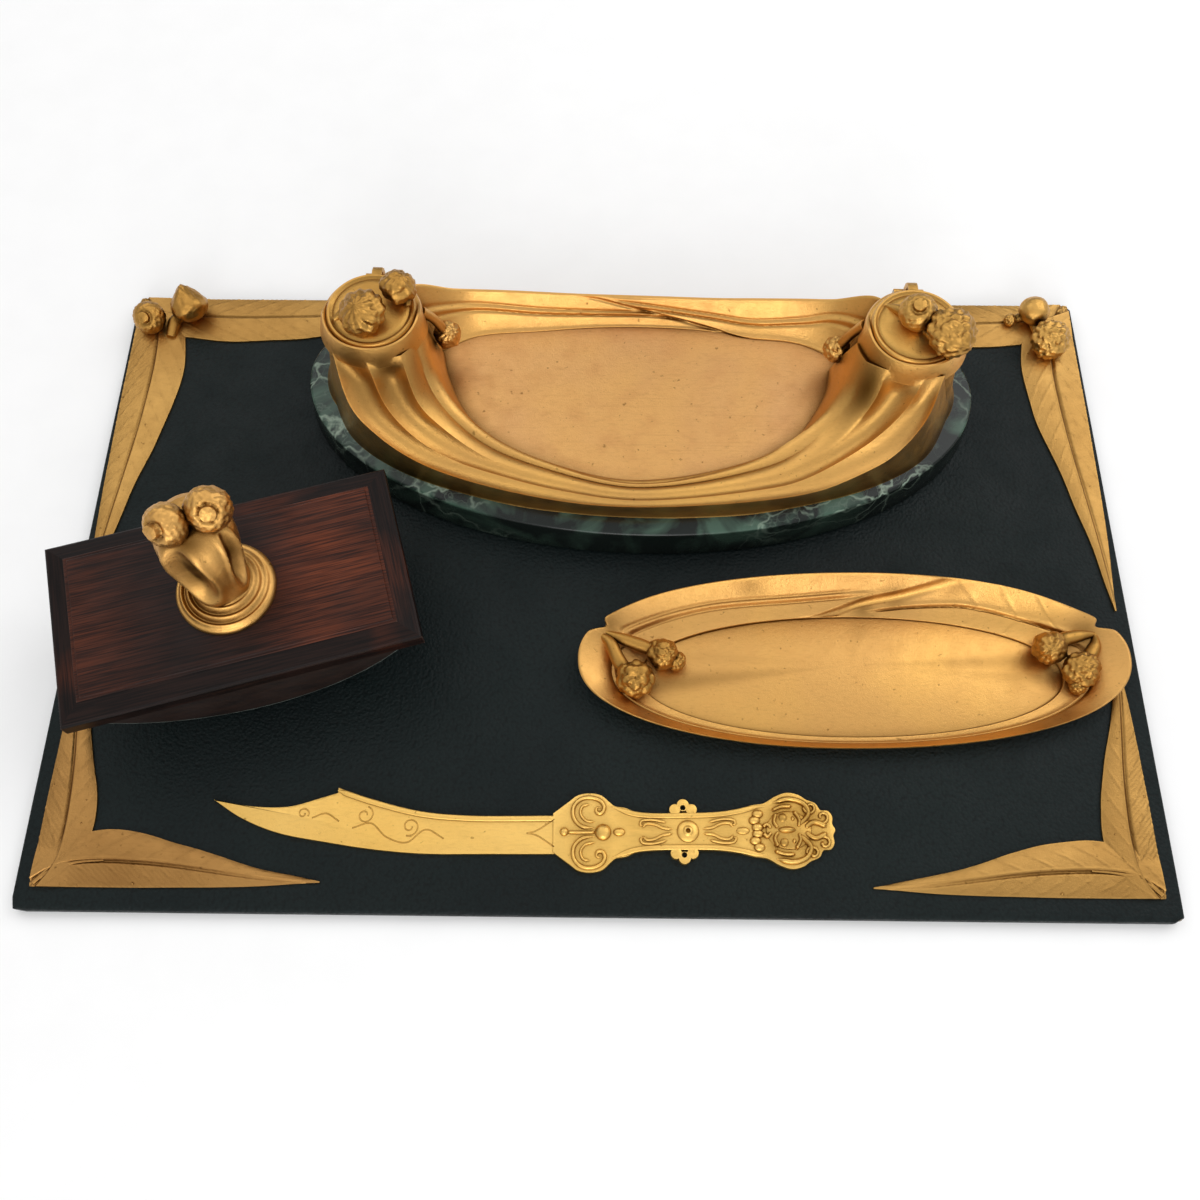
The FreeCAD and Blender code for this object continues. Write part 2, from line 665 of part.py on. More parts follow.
def hinge_lugs(x):
    """The casting's two hinge barrels behind a well, each on a lug."""
    lugs = []
    half = KNUCKLE_LENGTH / 2 + KNUCKLE_GAP
    for start in (-half - KNUCKLE_LENGTH, half):
        barrel = knuckle(x, start, KNUCKLE_LENGTH)
        root = WELL_TOP_RADIUS - HINGE_LUG_ROOT
        corner = Vector(x + start, root, HINGE_HEIGHT - HINGE_LUG_DEPTH)
        stem = Part.makeBox(KNUCKLE_LENGTH, HINGE_REACH + KNUCKLE_RADIUS - root, HINGE_LUG_DEPTH, corner)
        lugs.append(barrel.fuse(stem))
    return lugs


def hinge_pin(x):
    length = 3 * KNUCKLE_LENGTH + 2 * KNUCKLE_GAP
    place = Vector(x - length / 2, HINGE_REACH, HINGE_HEIGHT)
    return cylinder(HINGE_PIN_RADIUS, length, place, X_AXIS)


def pot_bore(x):
    floor = WELL_HEIGHT - POT_BORE_DEPTH
    bore = cylinder(POT_BORE_RADIUS, POT_BORE_DEPTH + OVERRUN, Vector(x, 0, floor))
    ledge = WELL_HEIGHT - POT_LIP_DROP - POT_FLANGE_HEIGHT
    seat = cylinder(POT_FLANGE_SEAT_RADIUS, POT_FLANGE_HEIGHT + OVERRUN, Vector(x, 0, ledge))
    return bore.fuse(seat)


def inkstand_body():
    """Tray, front band, back wall and both wells in one casting."""
    wells = [well_housing(x) for x in (-WELL_X, WELL_X)]
    body = tray_floor().fuse(front_band() + [back_wall()] + wells)
    body = body.fuse([lug for x in (-WELL_X, WELL_X) for lug in hinge_lugs(x)])
    cuts = [pot_bore(x) for x in (-WELL_X, WELL_X)]
    cuts += [hinge_pin(x) for x in (-WELL_X, WELL_X)]
    cuts += [cylinder(SCREW_RADIUS, SCREW_ENTRY + SCREW_TIP_ROOM, place) for place in screw_places()]
    return body.cut(cuts)


def ink_pot(x):
    """Glass liner that hangs by its flange in the well."""
    outer = POT_BORE_RADIUS - POT_CLEARANCE
    inner = outer - POT_WALL
    flange = POT_FLANGE_SEAT_RADIUS - POT_CLEARANCE
    top = WELL_HEIGHT - POT_LIP_DROP
    ledge = top - POT_FLANGE_HEIGHT
    bottom = WELL_HEIGHT - POT_BORE_DEPTH + POT_CLEARANCE
    floor = bottom + POT_FLOOR
    pot = turned_polygon([
        (0, bottom), (outer, bottom), (outer, ledge), (flange, ledge),
        (flange, top), (inner, top), (inner, floor), (0, floor)])
    pot.translate(Vector(x, 0, 0))
    return pot


def lid(x, seats):
    """Domed lid with a bead near its edge, stalk ends for its buds and a hinge barrel behind."""
    bottom = WELL_HEIGHT + LID_SEAT_GAP
    shoulder = bottom + LID_THICKNESS
    bead_out, bead_top, bead_in = [LID_RADIUS * share for share in LID_BEAD_SHARES]
    dome_start, dome_top = Vector(bead_in, 0, shoulder), Vector(0, 0, bottom + LID_DOME_HEIGHT)
    rim = Vector(LID_RADIUS, 0, bottom)
    edge = Vector(LID_RADIUS, 0, shoulder)
    bead_edge = Vector(bead_out, 0, shoulder)
    disc = turned([
        Part.makeLine(Vector(0, 0, bottom), rim),
        Part.makeLine(rim, edge),
        Part.makeLine(edge, bead_edge),
        Part.Arc(bead_edge, Vector(bead_top, 0, bottom + LID_BEAD_HEIGHT), dome_start).toShape(),
        cap_arc(bead_in, shoulder, dome_top.z),
        Part.makeLine(dome_top, Vector(0, 0, bottom))])
    disc.translate(Vector(x, 0, 0))
    whole = disc.fuse(lid_strap(x, bottom) + [knuckle(x, -KNUCKLE_LENGTH / 2, KNUCKLE_LENGTH)] + seats)
    hole = cylinder(HINGE_PIN_RADIUS + RUNNING_CLEARANCE, KNUCKLE_LENGTH,
                    Vector(x - KNUCKLE_LENGTH / 2, HINGE_REACH, HINGE_HEIGHT), X_AXIS)
    return whole.cut(hole)


def lid_strap(x, bottom):
    """Arm from under the lid's edge over the rim of the well, and the tab from it down to the barrel."""
    side = x - KNUCKLE_LENGTH / 2
    start, end = LID_RADIUS - LID_ARM_LAP, HINGE_REACH + KNUCKLE_RADIUS
    arm = Part.makeBox(KNUCKLE_LENGTH, end - start, LID_THICKNESS, Vector(side, start, bottom))
    tab = Part.makeBox(KNUCKLE_LENGTH, 2 * KNUCKLE_RADIUS, bottom + LID_THICKNESS - HINGE_HEIGHT,
                       Vector(side, end - 2 * KNUCKLE_RADIUS, HINGE_HEIGHT))
    return [arm, tab]


# Rocker blotter

def arc_segment(radius, top, width):
    """Block under a chord: the lower part of a cylinder along Y, its lowest line at zero."""
    centre = Vector(0, 0, ROCKER_RADIUS)
    depth = ROCKER_RADIUS - top
    half = math.sqrt(radius ** 2 - depth ** 2)
    left, right = Vector(-half, -width / 2, top), Vector(half, -width / 2, top)
    lowest = Vector(0, -width / 2, centre.z - radius)
    outline = Part.Wire([Part.Arc(left, lowest, right).toShape(), Part.makeLine(right, left)])
    return Part.Face(outline).extrude(Y_AXIS * width)


def insert_blank():
    """Flanged sleeve let into the top of the rocker, heights from the rocker's top."""
    sleeve = cylinder(INSERT_RADIUS, INSERT_LENGTH, Vector(0, 0, -INSERT_LENGTH))
    flange = cylinder(INSERT_FLANGE_RADIUS, INSERT_FLANGE_HEIGHT, Vector(0, 0, -INSERT_FLANGE_HEIGHT))
    return sleeve.fuse(flange).removeSplitter()


def rocker_base():
    body = arc_segment(ROCKER_RADIUS, ROCKER_RISE, ROCKER_WIDTH)
    return body.cut(placed(insert_blank(), 0, 0, ROCKER_RISE))


def knob_insert():
    bore = cylinder(STUD_RADIUS + RUNNING_CLEARANCE, INSERT_LENGTH, Vector(0, 0, -INSERT_LENGTH))
    return insert_blank().cut(bore)


def blotting_paper():
    """Sheet round the rocker's curve, its two ends folded over the rocker's top."""
    outer = arc_segment(ROCKER_RADIUS + PAPER_THICKNESS, ROCKER_RISE + PAPER_THICKNESS, ROCKER_WIDTH)
    inner = arc_segment(ROCKER_RADIUS, ROCKER_RISE, ROCKER_WIDTH)
    half_chord = inner.BoundBox.XLength / 2
    window = block(2 * (half_chord - PAPER_LIP), ROCKER_WIDTH, OVERRUN, ROCKER_RISE)
    return outer.cut([inner, window])


def rectangle(length, width, height):
    signs = ((-1, -1), (1, -1), (1, 1), (-1, 1))
    return polygon([Vector(x * length / 2, y * width / 2, height) for x, y in signs])


def rocker_top():
    """Board with a sloped, mitred border, a raised field and a fine bead on the field."""
    field_length, field_width = TOP_LENGTH - 2 * TOP_BORDER, TOP_WIDTH - 2 * TOP_BORDER
    slope_top = TOP_EDGE_HEIGHT + TOP_SLOPE_RISE
    edge = block(TOP_LENGTH, TOP_WIDTH, TOP_EDGE_HEIGHT)
    border = ruled_loft([rectangle(TOP_LENGTH, TOP_WIDTH, TOP_EDGE_HEIGHT),
                         rectangle(field_length, field_width, slope_top)])
    field = block(field_length, field_width, TOP_STEP_RISE, slope_top)
    bead_bottom = slope_top + TOP_STEP_RISE - TOP_BEAD_RISE
    groove = block(field_length, field_width, OVERRUN, bead_bottom)
    groove = groove.cut(block(field_length - 2 * TOP_BEAD_INSET, field_width - 2 * TOP_BEAD_INSET,
                              OVERRUN, bead_bottom))
    board = edge.fuse([border, field]).removeSplitter().cut(groove)
    return board.cut(cylinder(STUD_RADIUS + STUD_HOLE_CLEARANCE, TOP_FIELD - TOP_BOTTOM))


def lobed_wire(radius, centre):
    """Closed section with soft lobes."""
    points = []
    for count in range(KNOB_LOBE_POINTS):
        angle = 2 * math.pi * count / KNOB_LOBE_POINTS
        reach = radius * (1 + KNOB_LOBE_SHARE * math.cos(KNOB_LOBES * angle))
        points.append(centre + Vector(reach * math.cos(angle), reach * math.sin(angle), 0))
    curve = Part.BSplineCurve()
    curve.interpolate(Points=points, PeriodicFlag=True)
    return Part.Wire(curve.toShape())


def knob():
    """Rippled foot, a leaning cup of folded leaves and two buds on top."""
    foot_outline = [(0, 0), (KNOB_FOOT_RADIUS, 0)]
    foot_outline += [(KNOB_FOOT_RADIUS * out, KNOB_FOOT_HEIGHT * up) for out, up in KNOB_FOOT_SHARES]
    foot = turned_polygon(foot_outline + [(0, KNOB_FOOT_HEIGHT)])
    sections = []
    for up_share, radius_share in KNOB_SECTION_SHARES:
        centre = Vector(0, KNOB_LEAN * up_share ** 2, KNOB_HEIGHT * up_share)
        sections.append(lobed_wire(KNOB_CUP_RADIUS * radius_share, centre))
    pieces = [foot]
    for side in (-1, 1):
        head = placed(bud(LARGE_BUD_RADIUS), side * KNOB_BUD_SPREAD, 0, KNOB_BUD_SEAT)
        pieces.append(placed(head, 0, KNOB_LEAN, 0, KNOB_BUD_YAW - ROCKER_YAW))
    cup = loft(sections).cut(knob_hollows())
    return cup.fuse(pieces).cut(cylinder(STUD_RADIUS, STUD_KNOB_ENTRY))


def knob_hollows():
    """Balls that dish the cup between its leaves."""
    middle = Vector(0, KNOB_LEAN * KNOB_HOLLOW_SHARE ** 2, KNOB_HEIGHT * KNOB_HOLLOW_SHARE)
    balls = []
    for angle in KNOB_HOLLOW_ANGLES:
        away = Vector(math.cos(math.radians(angle)), math.sin(math.radians(angle)), 0)
        balls.append(Part.makeSphere(KNOB_HOLLOW_RADIUS, middle + away * KNOB_HOLLOW_REACH))
    return balls


def knob_stud():
    """Screw from inside the knob down into the insert, heights from the knob's base."""
    through = KNOB_BASE - ROCKER_TOP
    return cylinder(STUD_RADIUS, STUD_KNOB_ENTRY + through + STUD_INSERT_ENTRY,
                    Vector(0, 0, -through - STUD_INSERT_ENTRY))


# Pen tray

def tray_section(angle):
    """Section of the tray's upturned rim, from its edge in to the floor."""
    cos, sin = math.cos(angle), math.sin(angle)
    rim = Vector(TRAY_HALF_LENGTH * cos, TRAY_HALF_WIDTH * sin, 0)
    foot = Vector(TRAY_FLOOR_HALF_LENGTH * cos, TRAY_FLOOR_HALF_WIDTH * sin + TRAY_FLOOR_SHIFT, 0)
    height = TRAY_RIM_HEIGHT + TRAY_REAR_RISE * sin
    middle = rim + (foot - rim) * TRAY_MID_SHARE
    sheet = UP * TRAY_SHEET
    outer_top, inner_top = rim + UP * height, foot + sheet
    outer_low = outer_top - sheet
    middle_low = middle + UP * ((height - TRAY_SHEET) * TRAY_BELLY_SHARE)
    return Part.Wire([
        Part.Arc(outer_top, middle_low + sheet, inner_top).toShape(),
        Part.makeLine(inner_top, foot),
        Part.Arc(foot, middle_low, outer_low).toShape(),
        Part.makeLine(outer_low, outer_top)])


def pen_tray():
    """Oval dish: a flat floor with a rim that rises highest behind."""
    floor = Part.Ellipse(Vector(0, TRAY_FLOOR_SHIFT, 0), TRAY_FLOOR_HALF_LENGTH + TRAY_FLOOR_LAP,
                         TRAY_FLOOR_HALF_WIDTH + TRAY_FLOOR_LAP)
    dish = Part.Face(Part.Wire(floor.toShape())).extrude(UP * TRAY_SHEET)
    step = math.pi / 2 / QUARTER_STEPS
    quarters = []
    for start in range(4):
        angles = [start * math.pi / 2 + step * count for count in range(QUARTER_STEPS + 1)]
        quarters.append(loft([tray_section(angle) for angle in angles]))
    return dish.fuse(quarters)


# Letter opener

def blade_points(shares):
    return [Vector(BLADE_LENGTH * along, BLADE_WIDTH * across, 0) for along, across in shares]


def blade():
    """Curved blade with a raised spine along its back."""
    back, spine_line, edge_line = [blade_points(shares) for shares in
                                   (BLADE_BACK_SHARES, BLADE_SPINE_SHARES, BLADE_EDGE_SHARES)]
    step = Part.makeLine(back[-1], spine_line[0])
    root = Part.makeLine(spine_line[-1], edge_line[0])
    outline = Part.Wire([spline(back), step, spline(spine_line), root, spline(edge_line)])
    body = Part.Face(outline).extrude(UP * BLADE_THICKNESS)
    lower = [point - Y_AXIS * SPINE_WIDTH for point in spine_line]
    strip = Part.Wire([spline(spine_line), Part.makeLine(spine_line[-1], lower[-1]),
                       spline(lower), Part.makeLine(lower[0], spine_line[0])])
    spine = Part.Face(strip).extrude(UP * (BLADE_THICKNESS + SPINE_RISE))
    return body.fuse(spine)


def handle():
    """Waisted handle with a scroll guard, pierced lugs, bosses and a mask at its end."""
    upper = [Vector(HANDLE_LENGTH * along, HANDLE_HALF_WIDTH * across, 0)
             for along, across in HANDLE_OUTLINE_SHARES]
    lower = [Vector(point.x, -point.y, 0) for point in upper]
    outline = Part.Wire([spline(upper), spline(lower), Part.makeLine(lower[0], upper[0])])
    pieces = [Part.Face(outline).extrude(UP * HANDLE_THICKNESS)]
    holes = []
    for side in (-1, 1):
        lobes, hole = trefoil_lug(side)
        scroll_place = Vector(HANDLE_LENGTH * SCROLL_PLACE_SHARE, side * SCROLL_REACH, HANDLE_THICKNESS)
        pieces += lobes + [Part.makeTorus(SCROLL_RADIUS, SCROLL_SECTION_RADIUS, scroll_place)]
        holes.append(hole)
    domes = [(GUARD_BOSS_PLACE_SHARE, 0, BOSS_RADIUS, BOSS_RISE),
             (LUG_PLACE_SHARE, 0, BOSS_RADIUS, BOSS_RISE),
             (MASK_PLACE_SHARE, 0, MASK_HALF_WIDTH, MASK_RISE),
             (NOSE_PLACE_SHARE, 0, NOSE_RADIUS, FEATURE_RISE)]
    domes += [(EYE_PLACE_SHARE, side * EYE_REACH, EYE_RADIUS, FEATURE_RISE) for side in (-1, 1)]
    for place_share, across, radius, rise in domes:
        pieces.append(placed(dome(radius, rise), HANDLE_LENGTH * place_share, across, HANDLE_THICKNESS))
    return pieces, holes


def trefoil_lug(side):
    """Three lobes on one side of the handle, and the hole through their middle."""
    middle = Vector(HANDLE_LENGTH * LUG_PLACE_SHARE, side * LUG_REACH, 0)
    shifts = (X_AXIS * -LUG_SPREAD, X_AXIS * LUG_SPREAD, Y_AXIS * (side * LUG_CROWN))
    lobes = [cylinder(LUG_RADIUS, HANDLE_THICKNESS, middle + shift) for shift in shifts]
    return lobes, cylinder(LUG_HOLE_RADIUS, HANDLE_THICKNESS, middle)


def dome(radius, rise):
    """Shallow spherical cap on a short skirt that sinks into what carries it."""
    rim, top, foot = Vector(radius, 0, 0), Vector(0, 0, rise), Vector(0, 0, -CASTING_SINK)
    skirt = Vector(radius, 0, -CASTING_SINK)
    return turned([Part.makeLine(foot, skirt), Part.makeLine(skirt, rim),
                   cap_arc(radius, 0, rise), Part.makeLine(top, foot)])


def letter_opener():
    pieces, holes = handle()
    whole = blade().fuse(pieces).cut(holes)
    return placed(whole, OPENER_X, OPENER_Y, PAD_TOP, OPENER_YAW)


# The whole set

def pad_nodes():
    sides = {"front_left": (-1, -1), "front_right": (1, -1), "rear_left": (-1, 1), "rear_right": (1, 1)}
    rivets = {name: corner_rivets(*side) for name, side in sides.items()}
    all_rivets = [rivet for group in rivets.values() for rivet in group]
    radii = {"rear_left": (LARGE_BUD_RADIUS, SMALL_BUD_RADIUS),
             "rear_right": (SMALL_BUD_RADIUS, LARGE_BUD_RADIUS)}
    spots = {"rear_left": corner_bud_places(-1, REAR_LEFT_BUD_PLACES),
             "rear_right": corner_bud_places(1, REAR_RIGHT_BUD_PLACES)}
    seat = PAD_TOP + CORNER_BUD_SEAT
    seats = {name: bud_seats(spots[name], radii[name], PAD_TOP + CASTING_SINK, seat) for name in spots}
    board = pad_board()
    nodes = {"pad_board": board.cut(all_rivets), "pad_leather": pad_leather(board).cut(all_rivets),
             "pad_lining": pad_lining(), "corner_rivets": Part.makeCompound(all_rivets)}
    for name, side in sides.items():
        nodes["corner_" + name] = corner_mount(*side, rivets[name], seats.get(name))
    for name, places in spots.items():
        nodes["corner_buds_" + name] = buds_at(places, radii[name], seat)
    return nodes


def inkstand_nodes():
    screws = Part.makeCompound([base_screw(place) for place in screw_places()])
    washers = Part.makeCompound([base_washer(place) for place in screw_places()])
    nodes = {"marble_base": in_inkstand(marble_base(), MARBLE_BOTTOM),
             "base_felt": in_inkstand(base_felt(), PAD_TOP),
             "base_screws": in_inkstand(screws, MARBLE_BOTTOM),
             "base_washers": in_inkstand(washers, MARBLE_BOTTOM),
             "inkstand_body": in_inkstand(inkstand_body())}
    wells = (("left", -WELL_X, LEFT_LID_BUD_PLACES), ("right", WELL_X, RIGHT_LID_BUD_PLACES))
    bottom = WELL_HEIGHT + LID_SEAT_GAP
    for (side, x, places), radii in zip(wells, LID_BUD_RADII):
        spots = [(x + along, inward) for along, inward in places]
        seats = bud_seats(spots, radii, bottom + CASTING_SINK, bottom + LID_BUD_SEAT)
        nodes["lid_" + side] = in_inkstand(lid(x, seats))
        nodes["lid_buds_" + side] = in_inkstand(buds_at(spots, radii, bottom + LID_BUD_SEAT))
        nodes["hinge_pin_" + side] = in_inkstand(hinge_pin(x))
        nodes["ink_pot_" + side] = in_inkstand(ink_pot(x))
    return nodes


def rocker_nodes():
    return {"rocker_base": in_rocker(rocker_base(), ROCKER_BOTTOM),
            "blotting_paper": in_rocker(blotting_paper(), ROCKER_BOTTOM),
            "knob_insert": in_rocker(knob_insert(), ROCKER_TOP),
            "rocker_top": in_rocker(rocker_top(), TOP_BOTTOM),
            "knob": in_rocker(knob(), KNOB_BASE),
            "knob_stud": in_rocker(knob_stud(), KNOB_BASE)}


def tray_nodes():
    radii = (SMALL_BUD_RADIUS, SMALL_BUD_RADIUS)
    groups = {"left": LEFT_TRAY_BUD_PLACES, "right": RIGHT_TRAY_BUD_PLACES}
    seats = []
    nodes = {}
    for side, places in groups.items():
        seats += bud_seats(places, radii, TRAY_SHEET - CASTING_SINK, TRAY_BUD_SEAT)
        nodes["tray_buds_" + side] = in_tray(buds_at(places, radii, TRAY_BUD_SEAT))
    nodes["pen_tray"] = in_tray(pen_tray().fuse(seats))
    return nodes


def main():
    os.makedirs("parts", exist_ok=True)
    nodes = {**pad_nodes(), **inkstand_nodes(), **rocker_nodes(), **tray_nodes(),
             "letter_opener": letter_opener()}
    for name, shape in nodes.items():
        shape.exportStep("parts/" + name + ".step")
        print(name, len(shape.Solids), shape.isValid(), round(shape.Volume))


main()
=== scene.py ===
import math

import bpy
import numpy as np
from mathutils import Matrix, Vector


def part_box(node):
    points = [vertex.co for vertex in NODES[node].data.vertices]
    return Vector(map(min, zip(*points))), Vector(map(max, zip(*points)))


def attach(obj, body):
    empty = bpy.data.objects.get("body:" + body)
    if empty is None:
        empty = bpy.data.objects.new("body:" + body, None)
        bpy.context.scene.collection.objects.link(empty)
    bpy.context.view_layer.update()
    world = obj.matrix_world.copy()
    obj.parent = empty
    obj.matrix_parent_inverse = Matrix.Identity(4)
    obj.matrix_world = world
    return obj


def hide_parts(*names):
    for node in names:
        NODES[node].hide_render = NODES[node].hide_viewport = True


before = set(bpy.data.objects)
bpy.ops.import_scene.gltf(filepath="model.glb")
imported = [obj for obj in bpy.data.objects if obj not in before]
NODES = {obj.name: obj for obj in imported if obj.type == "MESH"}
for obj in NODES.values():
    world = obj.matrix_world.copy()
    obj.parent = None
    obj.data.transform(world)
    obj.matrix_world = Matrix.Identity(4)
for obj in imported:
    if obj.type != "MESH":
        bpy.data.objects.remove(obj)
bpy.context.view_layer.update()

# Shapes are worked out in millimetres and written as metres.
MM = 0.001
CURVE_STEPS = 600

# Camera: place, heading, tilt and roll that match the photograph
CAMERA_PLACE = (3.1, -217.6, 487.5)
CAMERA_YAW = -0.83
CAMERA_PITCH = 67.11
CAMERA_ROLL = 0.21
CAMERA_LENS = 33.0
CAMERA_SENSOR = 36.0


# Places read from the parts of model.glb

def low(node):
    return np.array(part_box(node)[0]) / MM


def high(node):
    return np.array(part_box(node)[1]) / MM


def middle(node):
    return (low(node) + high(node)) / 2


PAD_TOP = high("pad_leather")[2]
PAD_HALF = (high("pad_leather") - low("pad_leather"))[:2] / 2
MARBLE_TOP = high("marble_base")[2]
MARBLE_BOTTOM = low("marble_base")[2]
LEFT_WELL, RIGHT_WELL = middle("ink_pot_left"), middle("ink_pot_right")
INKSTAND_PLACE = (*((LEFT_WELL + RIGHT_WELL) / 2)[:2], MARBLE_TOP)
INKSTAND_YAW = math.degrees(math.atan2(*(RIGHT_WELL - LEFT_WELL)[1::-1]))
WELL_X = np.linalg.norm((RIGHT_WELL - LEFT_WELL)[:2]) / 2
ROCKER_PLACE = middle("knob_insert")[:2]
ROCKER_YAW = 16.1
TRAY_YAW = 0.6
OPENER_YAW = 1.2


# Curves and solids

def smooth_curve(points):
    """Many points on a smooth curve through a few."""
    points = np.asarray(points, float)
    chords = np.linalg.norm(np.diff(points, axis=0), axis=1)
    place = np.concatenate(([0], np.cumsum(np.sqrt(chords))))
    slopes = np.gradient(points, place, axis=0)
    fine = np.linspace(0, place[-1], CURVE_STEPS)
    span = np.clip(np.searchsorted(place, fine, "right") - 1, 0, len(chords) - 1)
    width = (place[span + 1] - place[span])[:, None]
    t = (fine - place[span])[:, None] / width
    start, end = points[span], points[span + 1]
    return ((2 * t ** 3 - 3 * t ** 2 + 1) * start + (3 * t ** 2 - 2 * t ** 3) * end
            + ((t ** 3 - 2 * t ** 2 + t) * slopes[span] + (t ** 3 - t ** 2) * slopes[span + 1]) * width)


def spaced(curve, shares):
    """Points of a curve at shares of its length."""
    steps = np.linalg.norm(np.diff(curve, axis=0), axis=1)
    length = np.concatenate(([0], np.cumsum(steps)))
    return np.column_stack([np.interp(np.asarray(shares) * length[-1], length, axis) for axis in curve.T])


def smooth_line(points, count):
    return spaced(smooth_curve(points), np.linspace(0, 1, count))


def along_table(table, places):
    """Smooth values of a table of (place, value, value...) rows at other places."""
    curve = smooth_curve(table)
    return [np.interp(places, curve[:, 0], column) for column in curve.T[1:]]


def eased(value):
    """Smooth step from 0 to 1."""
    value = np.clip(value, 0, 1)
    return value * value * (3 - 2 * value)


def bell(value, centre, width):
    """Smooth bump of height 1."""
    return np.exp(-((value - centre) / width) ** 2)


def rows_solid(rings, looped=False):
    """Closed solid through rows of closed rings, capped at both ends unless it is looped."""
    rings = np.asarray(rings, float)
    count, size = rings.shape[:2]
    row = np.arange(count if looped else count - 1)[:, None]
    col = np.arange(size)[None, :]
    after, beside = (row + 1) % count, (col + 1) % size
    quads = np.stack([row * size + col, row * size + beside, after * size + beside, after * size + col], -1)
    faces = quads.reshape(-1, 4).tolist()
    if not looped:
        faces.append(list(range(size))[::-1])
        faces.append(list(range((count - 1) * size, count * size)))
    return facing_out(rings.reshape(-1, 3), faces)


def facing_out(points, faces):
    """The solid with its faces turned outwards."""
    volume = 0
    for face in faces:
        fan = points[face]
        volume += np.einsum("ij,ij->", np.cross(fan[1:-1], fan[2:]), np.tile(fan[0], (len(face) - 2, 1)))
    return points, faces if volume > 0 else [face[::-1] for face in faces]


def level_rings(outlines, heights):
    """Rings of flat outlines at their heights."""
    return [np.column_stack([outline, np.full(len(outline), height)])
            for outline, height in zip(outlines, heights)]


def profile_rings(outline, profile):
    """Rings of an outline drawn in by the insets of an (inset, height) profile."""
    return np.array(level_rings([outline(inset) for inset, height in profile],
                                [height for inset, height in profile]))


def round_angles(count):
    return np.linspace(0, 2 * math.pi, count, endpoint=False)


def circle(radius, sides, centre=(0, 0)):
    angles = round_angles(sides)
    return np.column_stack([centre[0] + radius * np.cos(angles), centre[1] + radius * np.sin(angles)])


# Least radius of a turned solid, next to its axis, and sides of wide and narrow holes
AXIS_RADIUS = 0.05
HOLE_SIDES = 32
PIN_HOLE_SIDES = 24


def turned(outline, sides):
    """Solid of revolution about Z from (radius, height) points between two points near the axis."""
    return rows_solid(level_rings([circle(max(radius, AXIS_RADIUS), sides) for radius, height in outline],
                                  [height for radius, height in outline]))


# Direction that no stem follows, from which its sides are worked out, and divisions of a stem
STEM_REFERENCE = (0.13, 0.21, 0.97)
STEM_SIDES = 14
STEM_ROWS = 20


def tube(points, radii, sides=STEM_SIDES):
    """Round stem along a line, its radius changing evenly through the given ones."""
    points = np.asarray(points, float)
    radii = np.interp(np.linspace(0, 1, len(points)), np.linspace(0, 1, len(radii)), radii)
    ahead = np.gradient(points, axis=0)
    ahead /= np.linalg.norm(ahead, axis=1)[:, None]
    side = np.cross(ahead, STEM_REFERENCE)
    side /= np.linalg.norm(side, axis=1)[:, None]
    over = np.cross(side, ahead)
    angles = round_angles(sides)[None, :, None]
    ring = np.cos(angles) * side[:, None, :] + np.sin(angles) * over[:, None, :]
    return rows_solid(points[:, None, :] + ring * radii[:, None, None])


def moved(solid, place=(0, 0, 0), yaw=0, lean=(0, 0)):
    """Solid leant about X and Y, turned about Z and put in its place."""
    points, faces = solid
    turn = Matrix.Rotation(math.radians(yaw), 3, "Z")
    turn = turn @ Matrix.Rotation(math.radians(lean[1]), 3, "Y")
    turn = turn @ Matrix.Rotation(math.radians(lean[0]), 3, "X")
    return points @ np.array(turn).T + np.asarray(place, float), faces


def placed(solids, place, yaw=0):
    return [moved(solid, place, yaw) for solid in solids]


def in_inkstand(solids):
    return placed(solids, INKSTAND_PLACE, INKSTAND_YAW)


def scene_object(name, data):
    made = bpy.data.objects.new(name, data)
    bpy.context.scene.collection.objects.link(made)
    return made


def mesh_object(name, points, faces):
    mesh = bpy.data.meshes.new(name)
    mesh.from_pydata((np.asarray(points) * MM).tolist(), [], faces)
    return scene_object(name, mesh)


def fused(name, solids, cuts=()):
    """One closed piece from overlapping solids, less the cuts."""
    adding = [mesh_object(name, *solid) for solid in solids]
    cutting = [mesh_object(name, *solid) for solid in cuts]
    base = adding[0]
    for operation, others in (("UNION", adding[1:]), ("DIFFERENCE", cutting)):
        for other in others:
            step = base.modifiers.new(operation, "BOOLEAN")
            step.operation = operation
            step.solver = "MANIFOLD"
            step.object = other
    mesh = bpy.data.meshes.new_from_object(base.evaluated_get(bpy.context.evaluated_depsgraph_get()))
    for spent in adding + cutting:
        bpy.data.objects.remove(spent)
    mesh.name = name
    return scene_object(name, mesh)


def fit(piece, material, body, slot, *nodes, crease=38):
    """Finish a piece: its material, shading, body and the nodes that it stands for; the record slot is not
    used.
    """
    piece.data.materials.clear()
    piece.data.materials.append(material)
    piece.data.shade_smooth()
    piece.data.set_sharp_from_angle(angle=math.radians(crease))
    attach(piece, body)
    if nodes:
        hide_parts(*nodes)


def dress(material, *names):
    """Give CAD pieces that show as they are their material."""
    for name in names:
        mesh = NODES[name].data
        mesh.materials.clear()
        mesh.materials.append(material)


SHADE = "shade"


def shade(piece, points, strengths, reach):
    """Darken a piece round some points, with a mesh attribute that falls off with their distance."""
    mesh = piece.data
    flat = np.empty(3 * len(mesh.vertices))
    mesh.vertices.foreach_get("co", flat)
    places = flat.reshape(-1, 3) / MM
    values = np.zeros(len(places))
    for point, strength in zip(np.asarray(points), strengths):
        away = np.linalg.norm(places - point, axis=1)
        values = np.maximum(values, strength * np.exp(-(away / reach) ** 2))
    mesh.attributes.new(SHADE, "FLOAT", "POINT").data.foreach_set("value", values.astype(np.float32))


